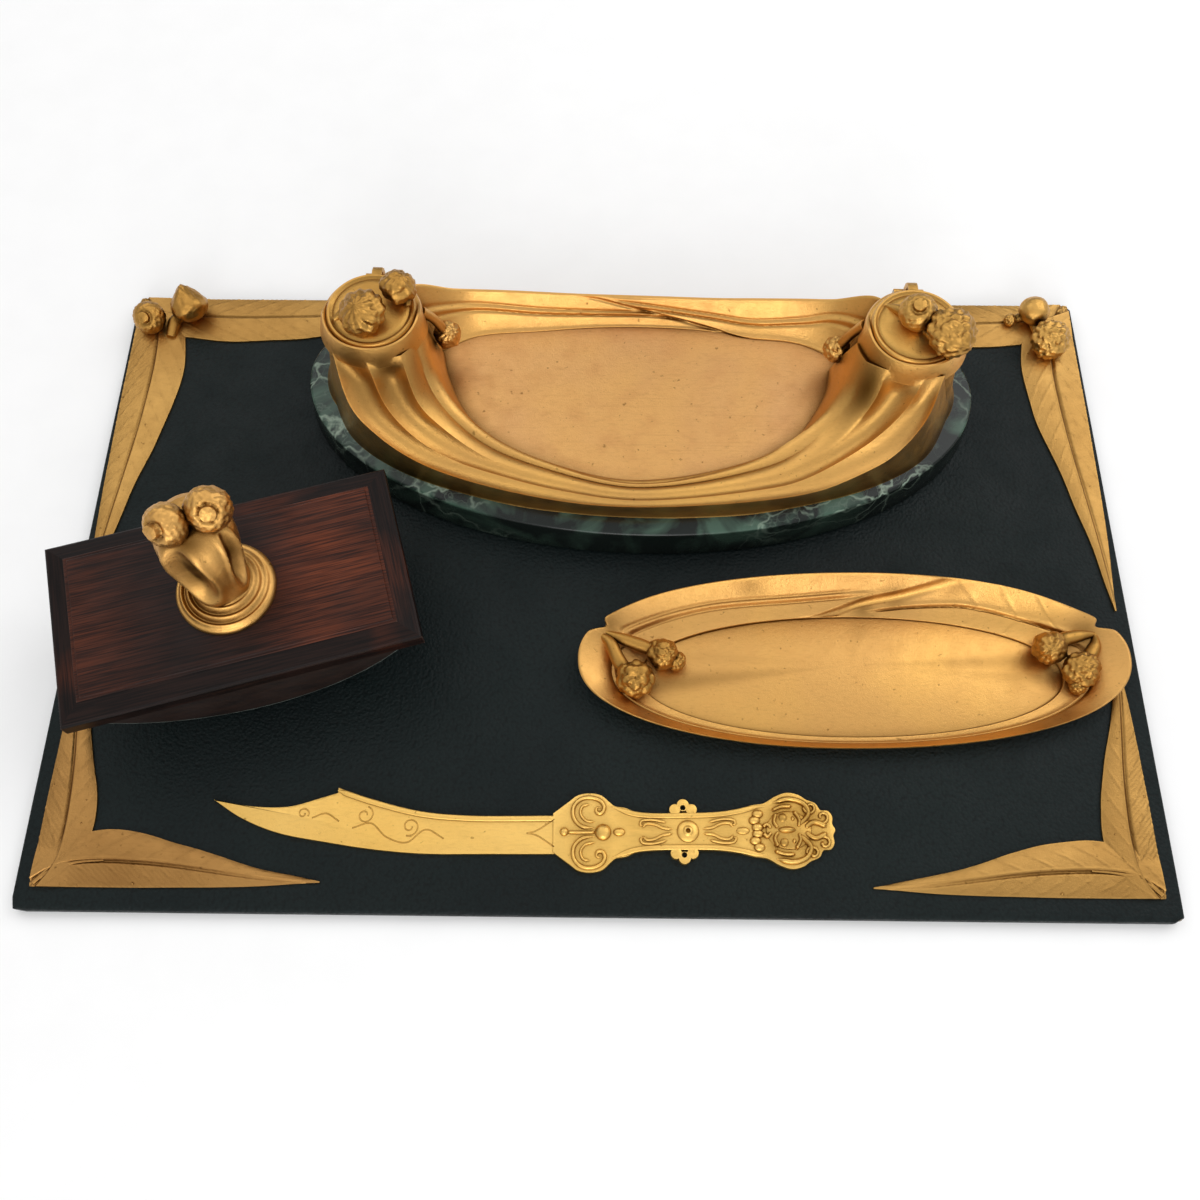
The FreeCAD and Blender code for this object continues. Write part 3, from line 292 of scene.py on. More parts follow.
def shade_spots(piece, table, place, yaw, reach):
    """Darken a piece round rows of x, y, height and darkness in its own frame."""
    spots = np.array(table)
    shade(piece, moved((spots[:, :3], None), place, yaw)[0], spots[:, 3], reach)


# Shading, with linear colours and lengths in metres

# Rays that look for hollows and edges, sockets of a colour mix, and limits of the noise for roughness
CORNER_SAMPLES = 6
MIX_INPUTS, MIX_OUTPUT = (0, 6, 7), 2
ROUGH_START, ROUGH_END = 0.3, 0.7


class Shading:
    """Material with a principled surface, built up from a few kinds of node."""

    def __init__(self, name):
        self.material = bpy.data.materials.new(name)
        self.material.use_nodes = True
        self.tree = self.material.node_tree
        self.surface = self.tree.nodes["Principled BSDF"]
        self.place = self.node("TexCoord").outputs["Object"]

    def link(self, value, socket):
        if isinstance(value, bpy.types.NodeSocket):
            self.tree.links.new(value, socket)
        else:
            socket.default_value = value

    def node(self, kind, settings=None, **inputs):
        """New node with its settings, its inputs set or linked by name."""
        made = self.tree.nodes.new("ShaderNode" + kind)
        for name, value in (settings or {}).items():
            setattr(made, name, value)
        for name, value in inputs.items():
            self.link(value, made.inputs[name])
        return made

    def place_about(self, centre, turn):
        """Texture place in a frame turned about a centre."""
        shift = Matrix.Rotation(-turn, 2) @ -Vector(centre)
        turned_place = self.node("Mapping", Vector=self.place, Rotation=(0, 0, -turn), Location=(*shift, 0))
        return turned_place.outputs["Vector"]

    def stretched(self, scale, place=None):
        return self.node("Mapping", Vector=place or self.place, Scale=scale).outputs["Vector"]

    def noise(self, scale, detail=4.0, place=None, distortion=0.0):
        return self.node("TexNoise", Vector=place or self.place, Scale=scale, Detail=detail,
                         Distortion=distortion).outputs["Fac"]

    def cells(self, scale, feature="F1", place=None):
        made = self.node("TexVoronoi", {"feature": feature}, Vector=place or self.place, Scale=scale)
        return made.outputs["Distance"]

    def sum(self, operation, first, second):
        made = self.node("Math", {"operation": operation})
        self.link(first, made.inputs[0])
        self.link(second, made.inputs[1])
        return made.outputs["Value"]

    def axis(self, vector, name):
        return self.node("SeparateXYZ", Vector=vector).outputs[name]

    def ramp(self, value, *stops):
        """Values or colours by steps of a value."""
        made = self.node("ValToRGB", Fac=value)
        steps = made.color_ramp.elements
        while len(steps) < len(stops):
            steps.new(1)
        for step, (place, colour) in zip(steps, stops):
            step.position = place
            step.color = colour if isinstance(colour, tuple) else (colour, colour, colour, 1)
        return made.outputs["Color"]

    def mix(self, share, first, second, blend="MIX"):
        made = self.node("Mix", {"data_type": "RGBA", "blend_type": blend})
        for value, index in zip((share, first, second), MIX_INPUTS):
            self.link(value, made.inputs[index])
        return made.outputs[MIX_OUTPUT]

    def both(self, first, second):
        """Where two masks overlap."""
        return self.mix(1.0, first, second, "MULTIPLY")

    def tones(self, value, start, end, first, second):
        """Two colours, the first giving way to the second as a value rises."""
        return self.mix(self.ramp(value, (start, 0.0), (end, 1.0)), first, second)

    def between(self, value, least, most):
        """Roughness that follows a noise between two limits."""
        return self.ramp(value, (ROUGH_START, least), (ROUGH_END, most))

    def corners(self, distance, start, end, inside=False):
        """1 in hollows, or on sharp edges when inside, falling to 0 on open faces."""
        settings = {"samples": CORNER_SAMPLES, "only_local": True, "inside": inside}
        made = self.node("AmbientOcclusion", settings, Distance=distance)
        return self.ramp(made.outputs["AO"], (start, 1.0), (end, 0.0))

    def finish(self, colour, roughness, height=None, depth=0.0, **surface):
        self.link(colour, self.surface.inputs["Base Color"])
        self.link(roughness, self.surface.inputs["Roughness"])
        if height is not None:
            bump = self.node("Bump", Height=height, Distance=depth, Strength=1.0)
            self.link(bump.outputs["Normal"], self.surface.inputs["Normal"])
        for name, value in surface.items():
            self.link(value, self.surface.inputs[name.replace("_", " ")])
        return self.material


# Gilding: scales of its wear, strokes, specks, roughness and cast grain, and sizes in metres
WEAR_SCALE = 12
STROKE_SCALE, STROKE_STRETCH = 900, (0.3, 1, 1)
SPECK_SCALE = 420
GILT_ROUGH_SCALE = 150
CAST_SCALES = (700, 2600)
CAST_DEPTH = 0.00011
BRIGHT_EDGE = 0.0012


def gilt(name, bright, worn, patina_and_shade, reach, floor=None):
    """Gilt casting: soft worn patches, dark patina and painted shade in the hollows, bright edges and a fine
    cast grain.
    """
    s = Shading(name)
    colour = s.tones(s.noise(WEAR_SCALE, 3), 0.38, 0.62, bright, worn)
    if floor is not None:
        colour = tray_wear(s, colour, floor)
    strokes = s.noise(STROKE_SCALE, 5, s.stretched(STROKE_STRETCH))
    colour = s.mix(s.ramp(strokes, (0.5, 0.0), (0.8, 0.14)), colour, patina_and_shade)
    shaded = s.node("Attribute", {"attribute_name": SHADE}).outputs["Fac"]
    # Hollows and the shade attribute's places take the patina colour: real patina, with painted shade over it
    colour = s.mix(s.sum("MAXIMUM", s.corners(reach, 0.5, 0.96), shaded), colour, patina_and_shade)
    colour = s.mix(s.corners(BRIGHT_EDGE, 0.35, 0.75, inside=True), colour, bright)
    colour = s.mix(s.ramp(s.noise(SPECK_SCALE, 3), (0.68, 0.0), (0.75, 0.6)), colour, patina_and_shade)
    coarse, fine = [s.noise(scale, detail) for scale, detail in zip(CAST_SCALES, (5, 3))]
    roughness = s.between(s.noise(GILT_ROUGH_SCALE, 6), 0.3, 0.44)
    return s.finish(colour, roughness, s.sum("ADD", coarse, fine), CAST_DEPTH, Metallic=1.0)


# Rubbed floor of the inkstand: tones, brushed lines, mottling and spots, with the scale of each
RUBBED_TONES, RUBBED_SCALE = ((0.61, 0.33, 0.135, 1), (0.66, 0.36, 0.125, 1)), 16
BRUSHED, BRUSHED_SCALE, BRUSHED_STRETCH = (0.38, 0.19, 0.06, 1), 1100, (0.02, 1, 1)
MOTTLED, MOTTLED_SCALE = (0.5, 0.235, 0.085, 1), 75
SPOTTED, SPOTTED_SCALE = (0.2, 0.1, 0.03, 1), 60
# Heights above the floor are counted in steps of 10 mm
WEAR_HEIGHT_SCALE = 100.0


def tray_wear(s, colour, floor):
    """Rubbed, coppery floor of the inkstand: brushed lines along it and dark spots."""
    level = s.ramp(s.axis(s.node("NewGeometry").outputs["Normal"], "Z"), (0.97, 0.0), (0.995, 1.0))
    height = s.sum("MULTIPLY", s.sum("SUBTRACT", s.axis(s.place, "Z"), floor), WEAR_HEIGHT_SCALE)
    mask = s.both(level, s.ramp(height, (0.05, 1.0), (0.14, 0.0)))
    rubbed = s.tones(s.noise(RUBBED_SCALE, 3), 0.35, 0.65, *RUBBED_TONES)
    lines = s.noise(BRUSHED_SCALE, 4, s.stretched(BRUSHED_STRETCH))
    rubbed = s.mix(s.ramp(lines, (0.58, 0.0), (0.75, 0.2)), rubbed, BRUSHED)
    rubbed = s.mix(s.ramp(s.noise(MOTTLED_SCALE, 6), (0.5, 0.0), (0.75, 0.3)), rubbed, MOTTLED)
    spots = s.ramp(s.cells(SPOTTED_SCALE), (0.02, 0.7), (0.04, 0.0))
    return s.mix(mask, colour, s.mix(spots, rubbed, SPOTTED))


# Leather: tones of its surface and painted shade in the creases between its pebbles, scales and depth in
# metres
LEATHER_TONES = ((0.0035, 0.0075, 0.0078, 1), (0.006, 0.0115, 0.0112, 1))
LEATHER_CREASE_SHADE = (0.0015, 0.003, 0.003, 1)
LEATHER_SCALE, PEBBLE_SCALE, PORE_SCALE = 9, 760, 1500
LEATHER_ROUGH_SCALE = 60
PEBBLE_DEPTH = 0.00034


def leather(name):
    """Near-black green leather with a fine pebble grain."""
    s = Shading(name)
    pebbles = s.cells(PEBBLE_SCALE, "SMOOTH_F1")
    colour = s.tones(s.noise(LEATHER_SCALE, 5), 0.35, 0.65, *LEATHER_TONES)
    # Creases between the pebbles are darkened: painted shade
    colour = s.mix(s.ramp(pebbles, (0.35, 0.0), (0.75, 0.7)), colour, LEATHER_CREASE_SHADE)
    roughness = s.between(s.noise(LEATHER_ROUGH_SCALE, 5), 0.42, 0.58)
    height = s.sum("SUBTRACT", s.sum("MULTIPLY", s.noise(PORE_SCALE, 4), 0.6), pebbles)
    return s.finish(colour, roughness, height, PEBBLE_DEPTH, Specular_IOR_Level=0.17)


# Marble: ground and cloud, veins and hairlines, painted shade on its sides, scales and polish depth in metres
STONE_TONES = ((0.006, 0.0095, 0.008, 1), (0.055, 0.105, 0.075, 1))
VEIN_TONE, HAIR_TONE = (0.28, 0.37, 0.29, 1), (0.16, 0.22, 0.17, 1)
STONE_SIDE_SHADE = (0.004, 0.006, 0.005, 1)
DRIFT_SCALE, DRIFT_SHARE = 22.0, 0.045
CLOUD_SCALE, VEINED_SCALE = 30, 11
VEIN_SCALE, HAIR_SCALE = 34, 95
STONE_ROUGH_SCALE, POLISH_SCALE = 45, 300
POLISH_DEPTH = 0.00004


def marble(name):
    """Polished near-black green stone with pale clouds and white veins."""
    s = Shading(name)
    drift = s.node("TexNoise", Vector=s.place, Scale=DRIFT_SCALE, Detail=5.0).outputs["Color"]
    warped = s.mix(DRIFT_SHARE, s.place, drift, "LINEAR_LIGHT")
    colour = s.tones(s.noise(CLOUD_SCALE, 9, distortion=1.4), 0.47, 0.65, *STONE_TONES)
    near = s.ramp(s.noise(VEINED_SCALE, 3), (0.44, 0.0), (0.6, 1.0))
    veins = s.ramp(s.cells(VEIN_SCALE, "DISTANCE_TO_EDGE", warped), (0.0, 1.0), (0.045, 0.0))
    hairs = s.ramp(s.cells(HAIR_SCALE, "DISTANCE_TO_EDGE", warped), (0.0, 0.45), (0.04, 0.0))
    colour = s.mix(s.both(veins, near), colour, VEIN_TONE)
    colour = s.mix(s.both(hairs, near), colour, HAIR_TONE)
    # Steep sides are darkened: painted shade
    side = s.ramp(s.axis(s.node("NewGeometry").outputs["Normal"], "Z"), (0.2, 0.8), (0.7, 0.0))
    colour = s.mix(side, colour, STONE_SIDE_SHADE)
    roughness = s.between(s.noise(STONE_ROUGH_SCALE, 5), 0.16, 0.3)
    return s.finish(colour, roughness, s.noise(POLISH_SCALE, 5), POLISH_DEPTH, Specular_IOR_Level=0.3)


# Rosewood: dark and red grain and rubbed edges, scales and stretch of the grain, sizes in metres
DARK_WOOD = ((0.005, 0.003, 0.0027, 1), (0.015, 0.007, 0.0055, 1))
RED_WOOD = ((0.03, 0.008, 0.0045, 1), (0.17, 0.038, 0.013, 1))
RUBBED_WOOD = (0.1, 0.06, 0.045, 1)
WOOD_SCALE = 1500
LENGTH_STRETCH, CROSS_STRETCH = (0.03, 1, 0.3), (1, 0.03, 0.3)
FIGURE_SCALE, FIGURE_STRETCH = 26, (0.5, 1, 1)
EDGING_SCALE, WOOD_ROUGH_SCALE = 18, 70
WOOD_EDGE, WOOD_DEPTH = 0.0008, 0.00005
# Red glow along the board: share of its length and strength
GLOW_SCALE = 6.6
GLOW_SHARES = ((0.02, 0.5), (0.16, 0.35), (0.34, 0.1), (0.54, 0.2), (0.74, 1.0), (0.98, 0.7))


def rosewood(name, half, border):
    """French-polished top: reddish grain in the field, a dark border mitred at its corners."""
    s = Shading(name)
    place = s.place_about(ROCKER_PLACE * MM, math.radians(ROCKER_YAW))
    past_end, past_side = [s.sum("SUBTRACT", s.sum("ABSOLUTE", s.axis(place, axis), 0.0), size * MM)
                           for axis, size in zip("XY", half)]
    ends = s.sum("GREATER_THAN", s.sum("SUBTRACT", past_end, past_side), 0.0)
    rim = s.sum("GREATER_THAN", s.sum("MAXIMUM", past_end, past_side), -border * MM)
    lengthwise, crosswise = [s.noise(WOOD_SCALE, 6, s.stretched(stretch, place), 0.2)
                             for stretch in (LENGTH_STRETCH, CROSS_STRETCH)]
    grain = s.mix(s.both(ends, rim), lengthwise, crosswise)
    along = s.sum("ADD", s.sum("MULTIPLY", s.axis(place, "X"), GLOW_SCALE), 0.5)
    figure = s.noise(FIGURE_SCALE, 4, s.stretched(FIGURE_STRETCH, place))
    glow = s.both(s.ramp(along, *GLOW_SHARES), s.ramp(figure, (0.3, 0.2), (0.58, 1.0)))
    dark = s.tones(grain, 0.4, 0.62, *DARK_WOOD)
    red = s.tones(grain, 0.36, 0.62, *RED_WOOD)
    edging = s.mix(s.ramp(s.noise(EDGING_SCALE, 3), (0.52, 0.0), (0.7, 0.4)), dark, red)
    colour = s.mix(rim, s.mix(glow, dark, red), edging)
    colour = s.mix(s.corners(WOOD_EDGE, 0.3, 0.7, inside=True), colour, RUBBED_WOOD)
    roughness = s.between(s.noise(WOOD_ROUGH_SCALE, 6), 0.3, 0.46)
    return s.finish(colour, roughness, grain, WOOD_DEPTH, Specular_IOR_Level=0.14)


# Rougher and smoother places of a plain material, as shares of its roughness
ROUGH_SHARES = (0.85, 1.15)


def two_tone(name, light, dark, scale, roughness, depth, metallic=0.0, stretch=(1, 1, 1)):
    """Plain material with a grain of two tones."""
    s = Shading(name)
    grain = s.noise(scale, 7, s.stretched(stretch))
    colour = s.tones(grain, 0.35, 0.65, dark, light)
    smooth, rough = [min(roughness * share, 1.0) for share in ROUGH_SHARES]
    return s.finish(colour, s.between(s.noise(scale / 5, 4), smooth, rough), grain, depth, Metallic=metallic)


GLASS_TONES = ((0.75, 0.83, 0.8, 1), (0.86, 0.9, 0.87, 1))
GLASS_SCALE, GLASS_DEPTH = 120, 0.0001


def pressed_glass(name):
    """Thick greenish glass with faint waves."""
    s = Shading(name)
    waves = s.noise(GLASS_SCALE, 4)
    colour = s.tones(waves, 0.3, 0.7, *GLASS_TONES)
    return s.finish(colour, s.between(waves, 0.05, 0.16), waves, GLASS_DEPTH, Transmission_Weight=0.85)


# Desk pad: leather over the board, turned in round a lining

# Profile of the leather from the turn-in's edge round to the top: distance from the pad's edge, height
LEATHER_PROFILE = ((19.7, 0.9), (19.7, 0.2), (19.4, 0), (1.4, 0), (0.4, 0.4), (0.05, 1.2), (0.05, 4.1),
                   (0.35, 5.1), (1.2, 5.65), (2.6, 5.8), (5, 5.8))
LEATHER_SIDE_ROWS = slice(4, -1)
LINING_PROFILE = ((24, 0.86), (20.2, 0.86), (20.1, 0.15), (20.5, 0), (24, 0))
PAD_CORNER = 3.0
LEAST_CORNER = 1.0
CORNER_STEPS = 9
RING_PITCH = 5.0
LEATHER_WAVE = 0.12
LEATHER_WAVE_SCALE = 0.05


def rounded_outline(inset):
    """Rectangle round the pad with rounded corners, closely divided."""
    radius = max(PAD_CORNER - inset, LEAST_CORNER)
    centres = PAD_HALF - inset - radius
    points = []
    for x_side, y_side, start in ((1, 1, 0), (-1, 1, 90), (-1, -1, 180), (1, -1, 270)):
        angles = np.radians(np.linspace(start, start + 90, CORNER_STEPS))
        points += list(zip(x_side * centres[0] + radius * np.cos(angles),
                           y_side * centres[1] + radius * np.sin(angles)))
    points = np.array(points + points[:1])
    return spaced(points, np.linspace(0, 1, int(4 * PAD_HALF.sum() / RING_PITCH), endpoint=False))


def pad_cover(leather_look, lining_look):
    rings = profile_rings(rounded_outline, LEATHER_PROFILE)
    wave = 0.5 + 0.5 * ripples(rings[LEATHER_SIDE_ROWS], LEATHER_WAVE_SCALE)
    rings[LEATHER_SIDE_ROWS, :, :2] *= 1 - LEATHER_WAVE * wave[..., None] / PAD_HALF
    fit(fused("pad_leather_cover", [rows_solid(rings)]), leather_look, "pad", "leather", "pad_leather")
    sheet = rows_solid(profile_rings(rounded_outline, LINING_PROFILE))
    fit(fused("pad_lining_sheet", [sheet]), lining_look, "pad", "lining", "pad_lining")


# Buds

# Directions over a ball stop this share of half a turn short of its poles
POLE_SHARE = 0.03


def ball_directions(rows, columns):
    """Directions over a ball, in rings from below to above."""
    polar = np.linspace((1 - POLE_SHARE) * math.pi, POLE_SHARE * math.pi, rows)[:, None]
    angle = round_angles(columns)[None, :]
    return np.stack([np.sin(polar) * np.cos(angle), np.sin(polar) * np.sin(angle),
                     np.cos(polar) * np.ones_like(angle)], -1)


def lumps(directions, count):
    """Even bumps over a ball: 1 at the middle of each, falling to 0 or less between them."""
    index = np.arange(count) + 0.5
    polar = np.arccos(1 - 2 * index / count)
    angle = math.pi * (1 + math.sqrt(5)) * index
    centres = np.column_stack([np.sin(polar) * np.cos(angle), np.sin(polar) * np.sin(angle), np.cos(polar)])
    nearest = np.arccos(np.clip((directions @ centres.T).max(-1), -1, 1))
    return 1 - (nearest * math.sqrt(count) / 2) ** 2


# Three crossed waves: pitch, sway, the sway's pitch and its start
RIPPLE_WAVES = ((1, 1.7, 1.3, 0.4), (1.2, 1.5, 1.1, 2.1), (1.1, 1.6, 0.9, 4.2))


def ripples(points, scale):
    """Uneven waves through space, between about -1 and 1."""
    axes = np.moveaxis(points * scale, -1, 0)
    total = 0
    for (pitch, sway, bend, start), along, across in zip(RIPPLE_WAVES, axes, np.roll(axes, -1, 0)):
        total = total + np.sin(pitch * along + sway * np.sin(bend * across + start))
    return total / len(RIPPLE_WAVES)


# Kinds of bud: count of lumps, then as shares of the radius their rise, roughness, strands, nub and taper
BUD_KINDS = {
    "berry": (44, 0.1, 0.05, 0.035, 0, 0, 0),
    "grain": (130, 0.035, 0.035, 0.03, 0, 0.17, 0),
    "pod": (12, 0.05, 0.05, 0.025, 0, 0, 0.4),
    "ball": (30, 0.01, 0.03, 0.012, 0, 0, 0),
    "rosette": (22, 0.15, 0.07, 0.05, 0, 0.08, 0),
    "rough": (60, 0.09, 0.1, 0.07, 0, 0, 0),
    "tuft": (26, 0.05, 0.07, 0.04, 0.055, 0, 0.12),
    "scale": (14, 0.12, 0.06, 0.04, 0.03, 0, 0.1)}
# Nub on top, in radians: its reach, the width of its edge, and the groove round it
NUB_ANGLE, NUB_EDGE = 0.36, 0.06
NUB_GROOVE_SHARE, NUB_GROOVE_OFFSET, NUB_GROOVE_WIDTH = 0.8, 0.1, 0.09
# Scales of the coarse and fine roughness, strands round a bud and their twist
COARSE_SCALE, FINE_SCALE = 4.5, 15
STRANDS, STRAND_TWIST = 11, 5
# How far a bud is drawn in below, and where that and its taper start, as shares of the radius
FOOT_SHARE, FOOT_START_SHARE = 0.16, 0.25
TAPER_START_SHARE = 0.2
BUD_ROWS, BUD_COLUMNS = 46, 68


def bud(radius, height, kind):
    """Bud about the origin: a ball with the texture of its kind, drawn in below."""
    count, lump, coarse, fine, strand, nub, taper = BUD_KINDS[kind]
    ways = ball_directions(BUD_ROWS, BUD_COLUMNS)
    up = ways[..., 2]
    polar, angle = np.arccos(up), np.arctan2(ways[..., 1], ways[..., 0])
    reach = 1 + lump * lumps(ways, count)
    reach = reach + coarse * ripples(ways, COARSE_SCALE) + fine * ripples(ways, FINE_SCALE)
    reach = reach + strand * np.cos(STRANDS * angle + STRAND_TWIST * up) * np.sin(polar)
    reach = reach * (1 - FOOT_SHARE * eased((-up - FOOT_START_SHARE) / (1 - FOOT_START_SHARE)))
    groove = NUB_GROOVE_SHARE * bell(polar, NUB_ANGLE + NUB_GROOVE_OFFSET, NUB_GROOVE_WIDTH)
    reach = reach + nub * (eased((NUB_ANGLE - polar) / NUB_EDGE) - groove)
    points = ways * reach[..., None] * radius
    points[..., :2] *= (1 - taper * eased((up + TAPER_START_SHARE) / (1 + TAPER_START_SHARE)))[..., None]
    points[..., 2] *= height / (2 * radius)
    return rows_solid(points)


def buds(table):
    """Buds from rows of place, radius, height, kind and lean."""
    return [moved(bud(radius, tall, kind), spot, 0, lean) for spot, radius, tall, kind, lean in table]


BUD_STEM_ROWS = 24


def bud_group(name, table, place, yaw, material, body, node, stems=()):
    """Buds of one casting, with the stems that carry them."""
    heads = buds(table) + [tube(smooth_line(points, BUD_STEM_ROWS), radii) for points, radii in stems]
    piece = fused(name, placed(heads, place, yaw))
    fit(piece, material, body, "gilt_bronze", node, crease=60)


# Corner mounts

# Leaf outline: place along the leaf, outer edge, rib and inner edge, as shares of its length and width
LEAF_SHARES = (
    (0, 0.01, 0.13, 0.74), (0.06, 0.0, 0.32, 0.83), (0.13, 0.0, 0.44, 0.92), (0.24, 0.0, 0.48, 1),
    (0.36, 0.0, 0.46, 0.95), (0.5, 0.01, 0.4, 0.76), (0.64, 0.02, 0.31, 0.55), (0.8, 0.05, 0.21, 0.34),
    (0.93, 0.1, 0.15, 0.21), (1, 0.12, 0.13, 0.14))
LEAF_EDGE = 1.0
LEAF_INNER_BELLY = 1.4
LEAF_OUTER_BELLY = 0.7
RIB_GROOVE = 0.65
RIB_LINE = 0.16
VEIN_PITCH = 13.0
VEIN_RISE = 0.3
VEIN_SLANT = 1.3
HATCH_PITCH = 2.6
HATCH_DEPTH = 0.13
EDGE_WAVE = 0.35
LEAF_COLUMNS = 57
LEAF_ROW_PITCH = 0.9
LEAF_COLUMN_POWER = 1.25
EDGE_WAVE_RUN = 7.0
INNER_BELLY_POWER, OUTER_BELLY_POWER = 2.4, 3
# Half width of the step between a leaf's halves, and the groove and the line beside it
RIB_STEP = 0.7
RIB_GROOVE_PLACE, RIB_GROOVE_WIDTH = -0.9, 0.6
RIB_LINE_PLACE, RIB_LINE_WIDTH = 0.5, 0.5
# Veins: width, fade beside the rib, bend, drift and its run, and shift between the leaf's halves
VEIN_WIDTH = 0.45
VEIN_FADE = 2.5
VEIN_BEND = 0.045
VEIN_DRIFT, VEIN_DRIFT_RUN = 2.2, 17
VEIN_SHIFT_SHARE = 0.4
HATCH_SLANT = 1.1
HATCH_FADE = 2
CORNER_LEAVES = {
    "front": ((124.0, 24.5), (112.0, 22.5)),
    "rear": ((225.0, 27.0), (176.0, 29.3))}
CORNER_INSETS = {"front": (7.5, 9.8), "rear": (2.5, 1.7)}
# Nails and a boss near a front corner: distance along, distance in, radius, rise
CORNER_NAILS = ((12.5, 4.2, 2.7, 2.0), (44.0, 1.6, 0.9, 1.7), (27.0, 17.5, 0.8, 2.4))
# Stem on each front leaf: distances along and in, its height and radii
FRONT_STEM = ((1.6, 1.4), (5.5, 5.0), (11, 8.6), (20, 10.6), (30, 11.4))
FRONT_STEM_HEIGHT = 1.35
FRONT_STEM_RADII = (0.9, 0.8, 0.5)


def leaf(length, width, run, across, phase):
    """Low leaf lying on the pad: its inner half swells above the outer one, with a groove between them."""
    share = np.linspace(0, 1, int(length / LEAF_ROW_PITCH))
    outer, rib, inner = [column * width for column in along_table(LEAF_SHARES, share)]
    inner = inner + EDGE_WAVE * np.sin(share * length / EDGE_WAVE_RUN + phase) * 4 * share * (1 - share)
    side = np.linspace(-1, 1, LEAF_COLUMNS)
    side = (np.sign(side) * np.abs(side) ** LEAF_COLUMN_POWER)[None, :]
    offset = side * np.where(side < 0, (rib - outer)[:, None], (inner - rib)[:, None])
    along = share[:, None] * length + np.zeros_like(offset)
    fullness = np.sqrt(np.clip((inner - outer) / width, 0, 1))[:, None]
    belly = np.where(side > 0, LEAF_INNER_BELLY * (1 - np.abs(side) ** INNER_BELLY_POWER),
                     LEAF_OUTER_BELLY * (1 - np.abs(side) ** OUTER_BELLY_POWER))
    blend = eased((offset + RIB_STEP) / (2 * RIB_STEP))
    at_rib = LEAF_OUTER_BELLY + (LEAF_INNER_BELLY - LEAF_OUTER_BELLY) * blend
    belly = np.where(np.abs(offset) < RIB_STEP, at_rib, belly)
    groove = RIB_GROOVE * fullness * bell(offset, RIB_GROOVE_PLACE, RIB_GROOVE_WIDTH)
    height = LEAF_EDGE + belly * fullness - groove
    height = height + RIB_LINE * fullness * bell(offset, RIB_LINE_PLACE, RIB_LINE_WIDTH)
    bend = along - VEIN_SLANT * np.abs(offset) - VEIN_BEND * offset ** 2
    bend = bend + VEIN_DRIFT * np.sin(along / VEIN_DRIFT_RUN + phase)
    vein = bend / VEIN_PITCH + VEIN_SHIFT_SHARE * (side > 0)
    vein = np.abs(vein - np.round(vein)) * VEIN_PITCH
    height = height + VEIN_RISE * bell(vein, 0, VEIN_WIDTH) * eased(np.abs(offset) / VEIN_FADE) * fullness
    hatch = np.cos(2 * math.pi * ((along + HATCH_SLANT * offset) / HATCH_PITCH))
    height = height - HATCH_DEPTH * (side < 0) * hatch * eased(-offset / HATCH_FADE) * fullness
    top = (along[..., None] * run + (rib[:, None] + offset)[..., None] * across
           + height[..., None] * np.array((0, 0, 1.0)))
    foot = top.copy()
    foot[..., 2] = 0
    return rows_solid(np.concatenate([top, foot[:, ::-1]], axis=1))


def corner_point(x_side, y_side, row):
    inset_x, inset_y = CORNER_INSETS[row]
    return np.array((x_side * (PAD_HALF[0] - inset_x), y_side * (PAD_HALF[1] - inset_y), PAD_TOP))


def corner_mount(name, x_side, y_side, material):
    row = "front" if y_side < 0 else "rear"
    along_back, along_side = np.array((-x_side, 0.0, 0.0)), np.array((0.0, -y_side, 0.0))
    stem = np.array(FRONT_STEM)
    solids = []
    ways = ((along_back, along_side), (along_side, along_back))
    for (length, width), (run, across) in zip(CORNER_LEAVES[row], ways):
        solids.append(leaf(length, width, run, across, x_side + 2 * y_side))
        if row == "front":
            path = stem[:, :1] * run + stem[:, 1:] * across + np.array((0, 0, FRONT_STEM_HEIGHT))
            solids.append(tube(smooth_line(path, STEM_ROWS), FRONT_STEM_RADII))
            for out, inward, radius, rise in CORNER_NAILS:
                solids.append(moved(dome((0, 0), radius, rise, level=0), out * run + inward * across))
    corner = corner_point(x_side, y_side, row)
    piece = fused("mount_" + name, placed(solids, corner))
    fit(piece, material, "pad", "gilt_bronze", "corner_" + name)


# Buds on the rear corners: place from the corner point, radius, height, kind and lean
CORNER_BUDS = {
    "left": (((30.0, -11.0, 10.5), 9.4, 20.5, "pod", (-38, -22)),
             ((9.6, -17.5, 8.0), 8.2, 14.0, "grain", (38, -4))),
    "right": (((-21.5, -9.5, 8.6), 7.8, 15.0, "ball", (-10, 10)),
              ((-15.5, -27.0, 8.4), 9.3, 15.0, "rough", (30, 8)),
              ((-33.0, -12.0, 4.6), 3.0, 6.0, "berry", (0, -20)))}
CORNER_STEMS = {
    "left": ((((20, -25, 1.8), (22, -17, 4.6), (27, -13, 6.0)), (2.6, 3.4, 2.2)),
             (((18, -4, 2), (22, -7, 4.4), (28, -9, 6)), (2.0, 2.4, 2.4))),
    "right": ((((-12, -30, 2.2), (-19, -20, 4.2), (-22, -11, 5.5)), (1.8, 2.6, 2.4)),
              (((-34, -12, 2), (-28, -10, 4), (-23, -10, 5.5)), (1.6, 2.2, 2.4)))}


def corner_buds(side, x_side, material):
    place = corner_point(x_side, 1, "rear")
    bud_group("corner_bud_group_" + side, CORNER_BUDS[side], place, 0, material, "pad",
              "corner_buds_rear_" + side, CORNER_STEMS[side])


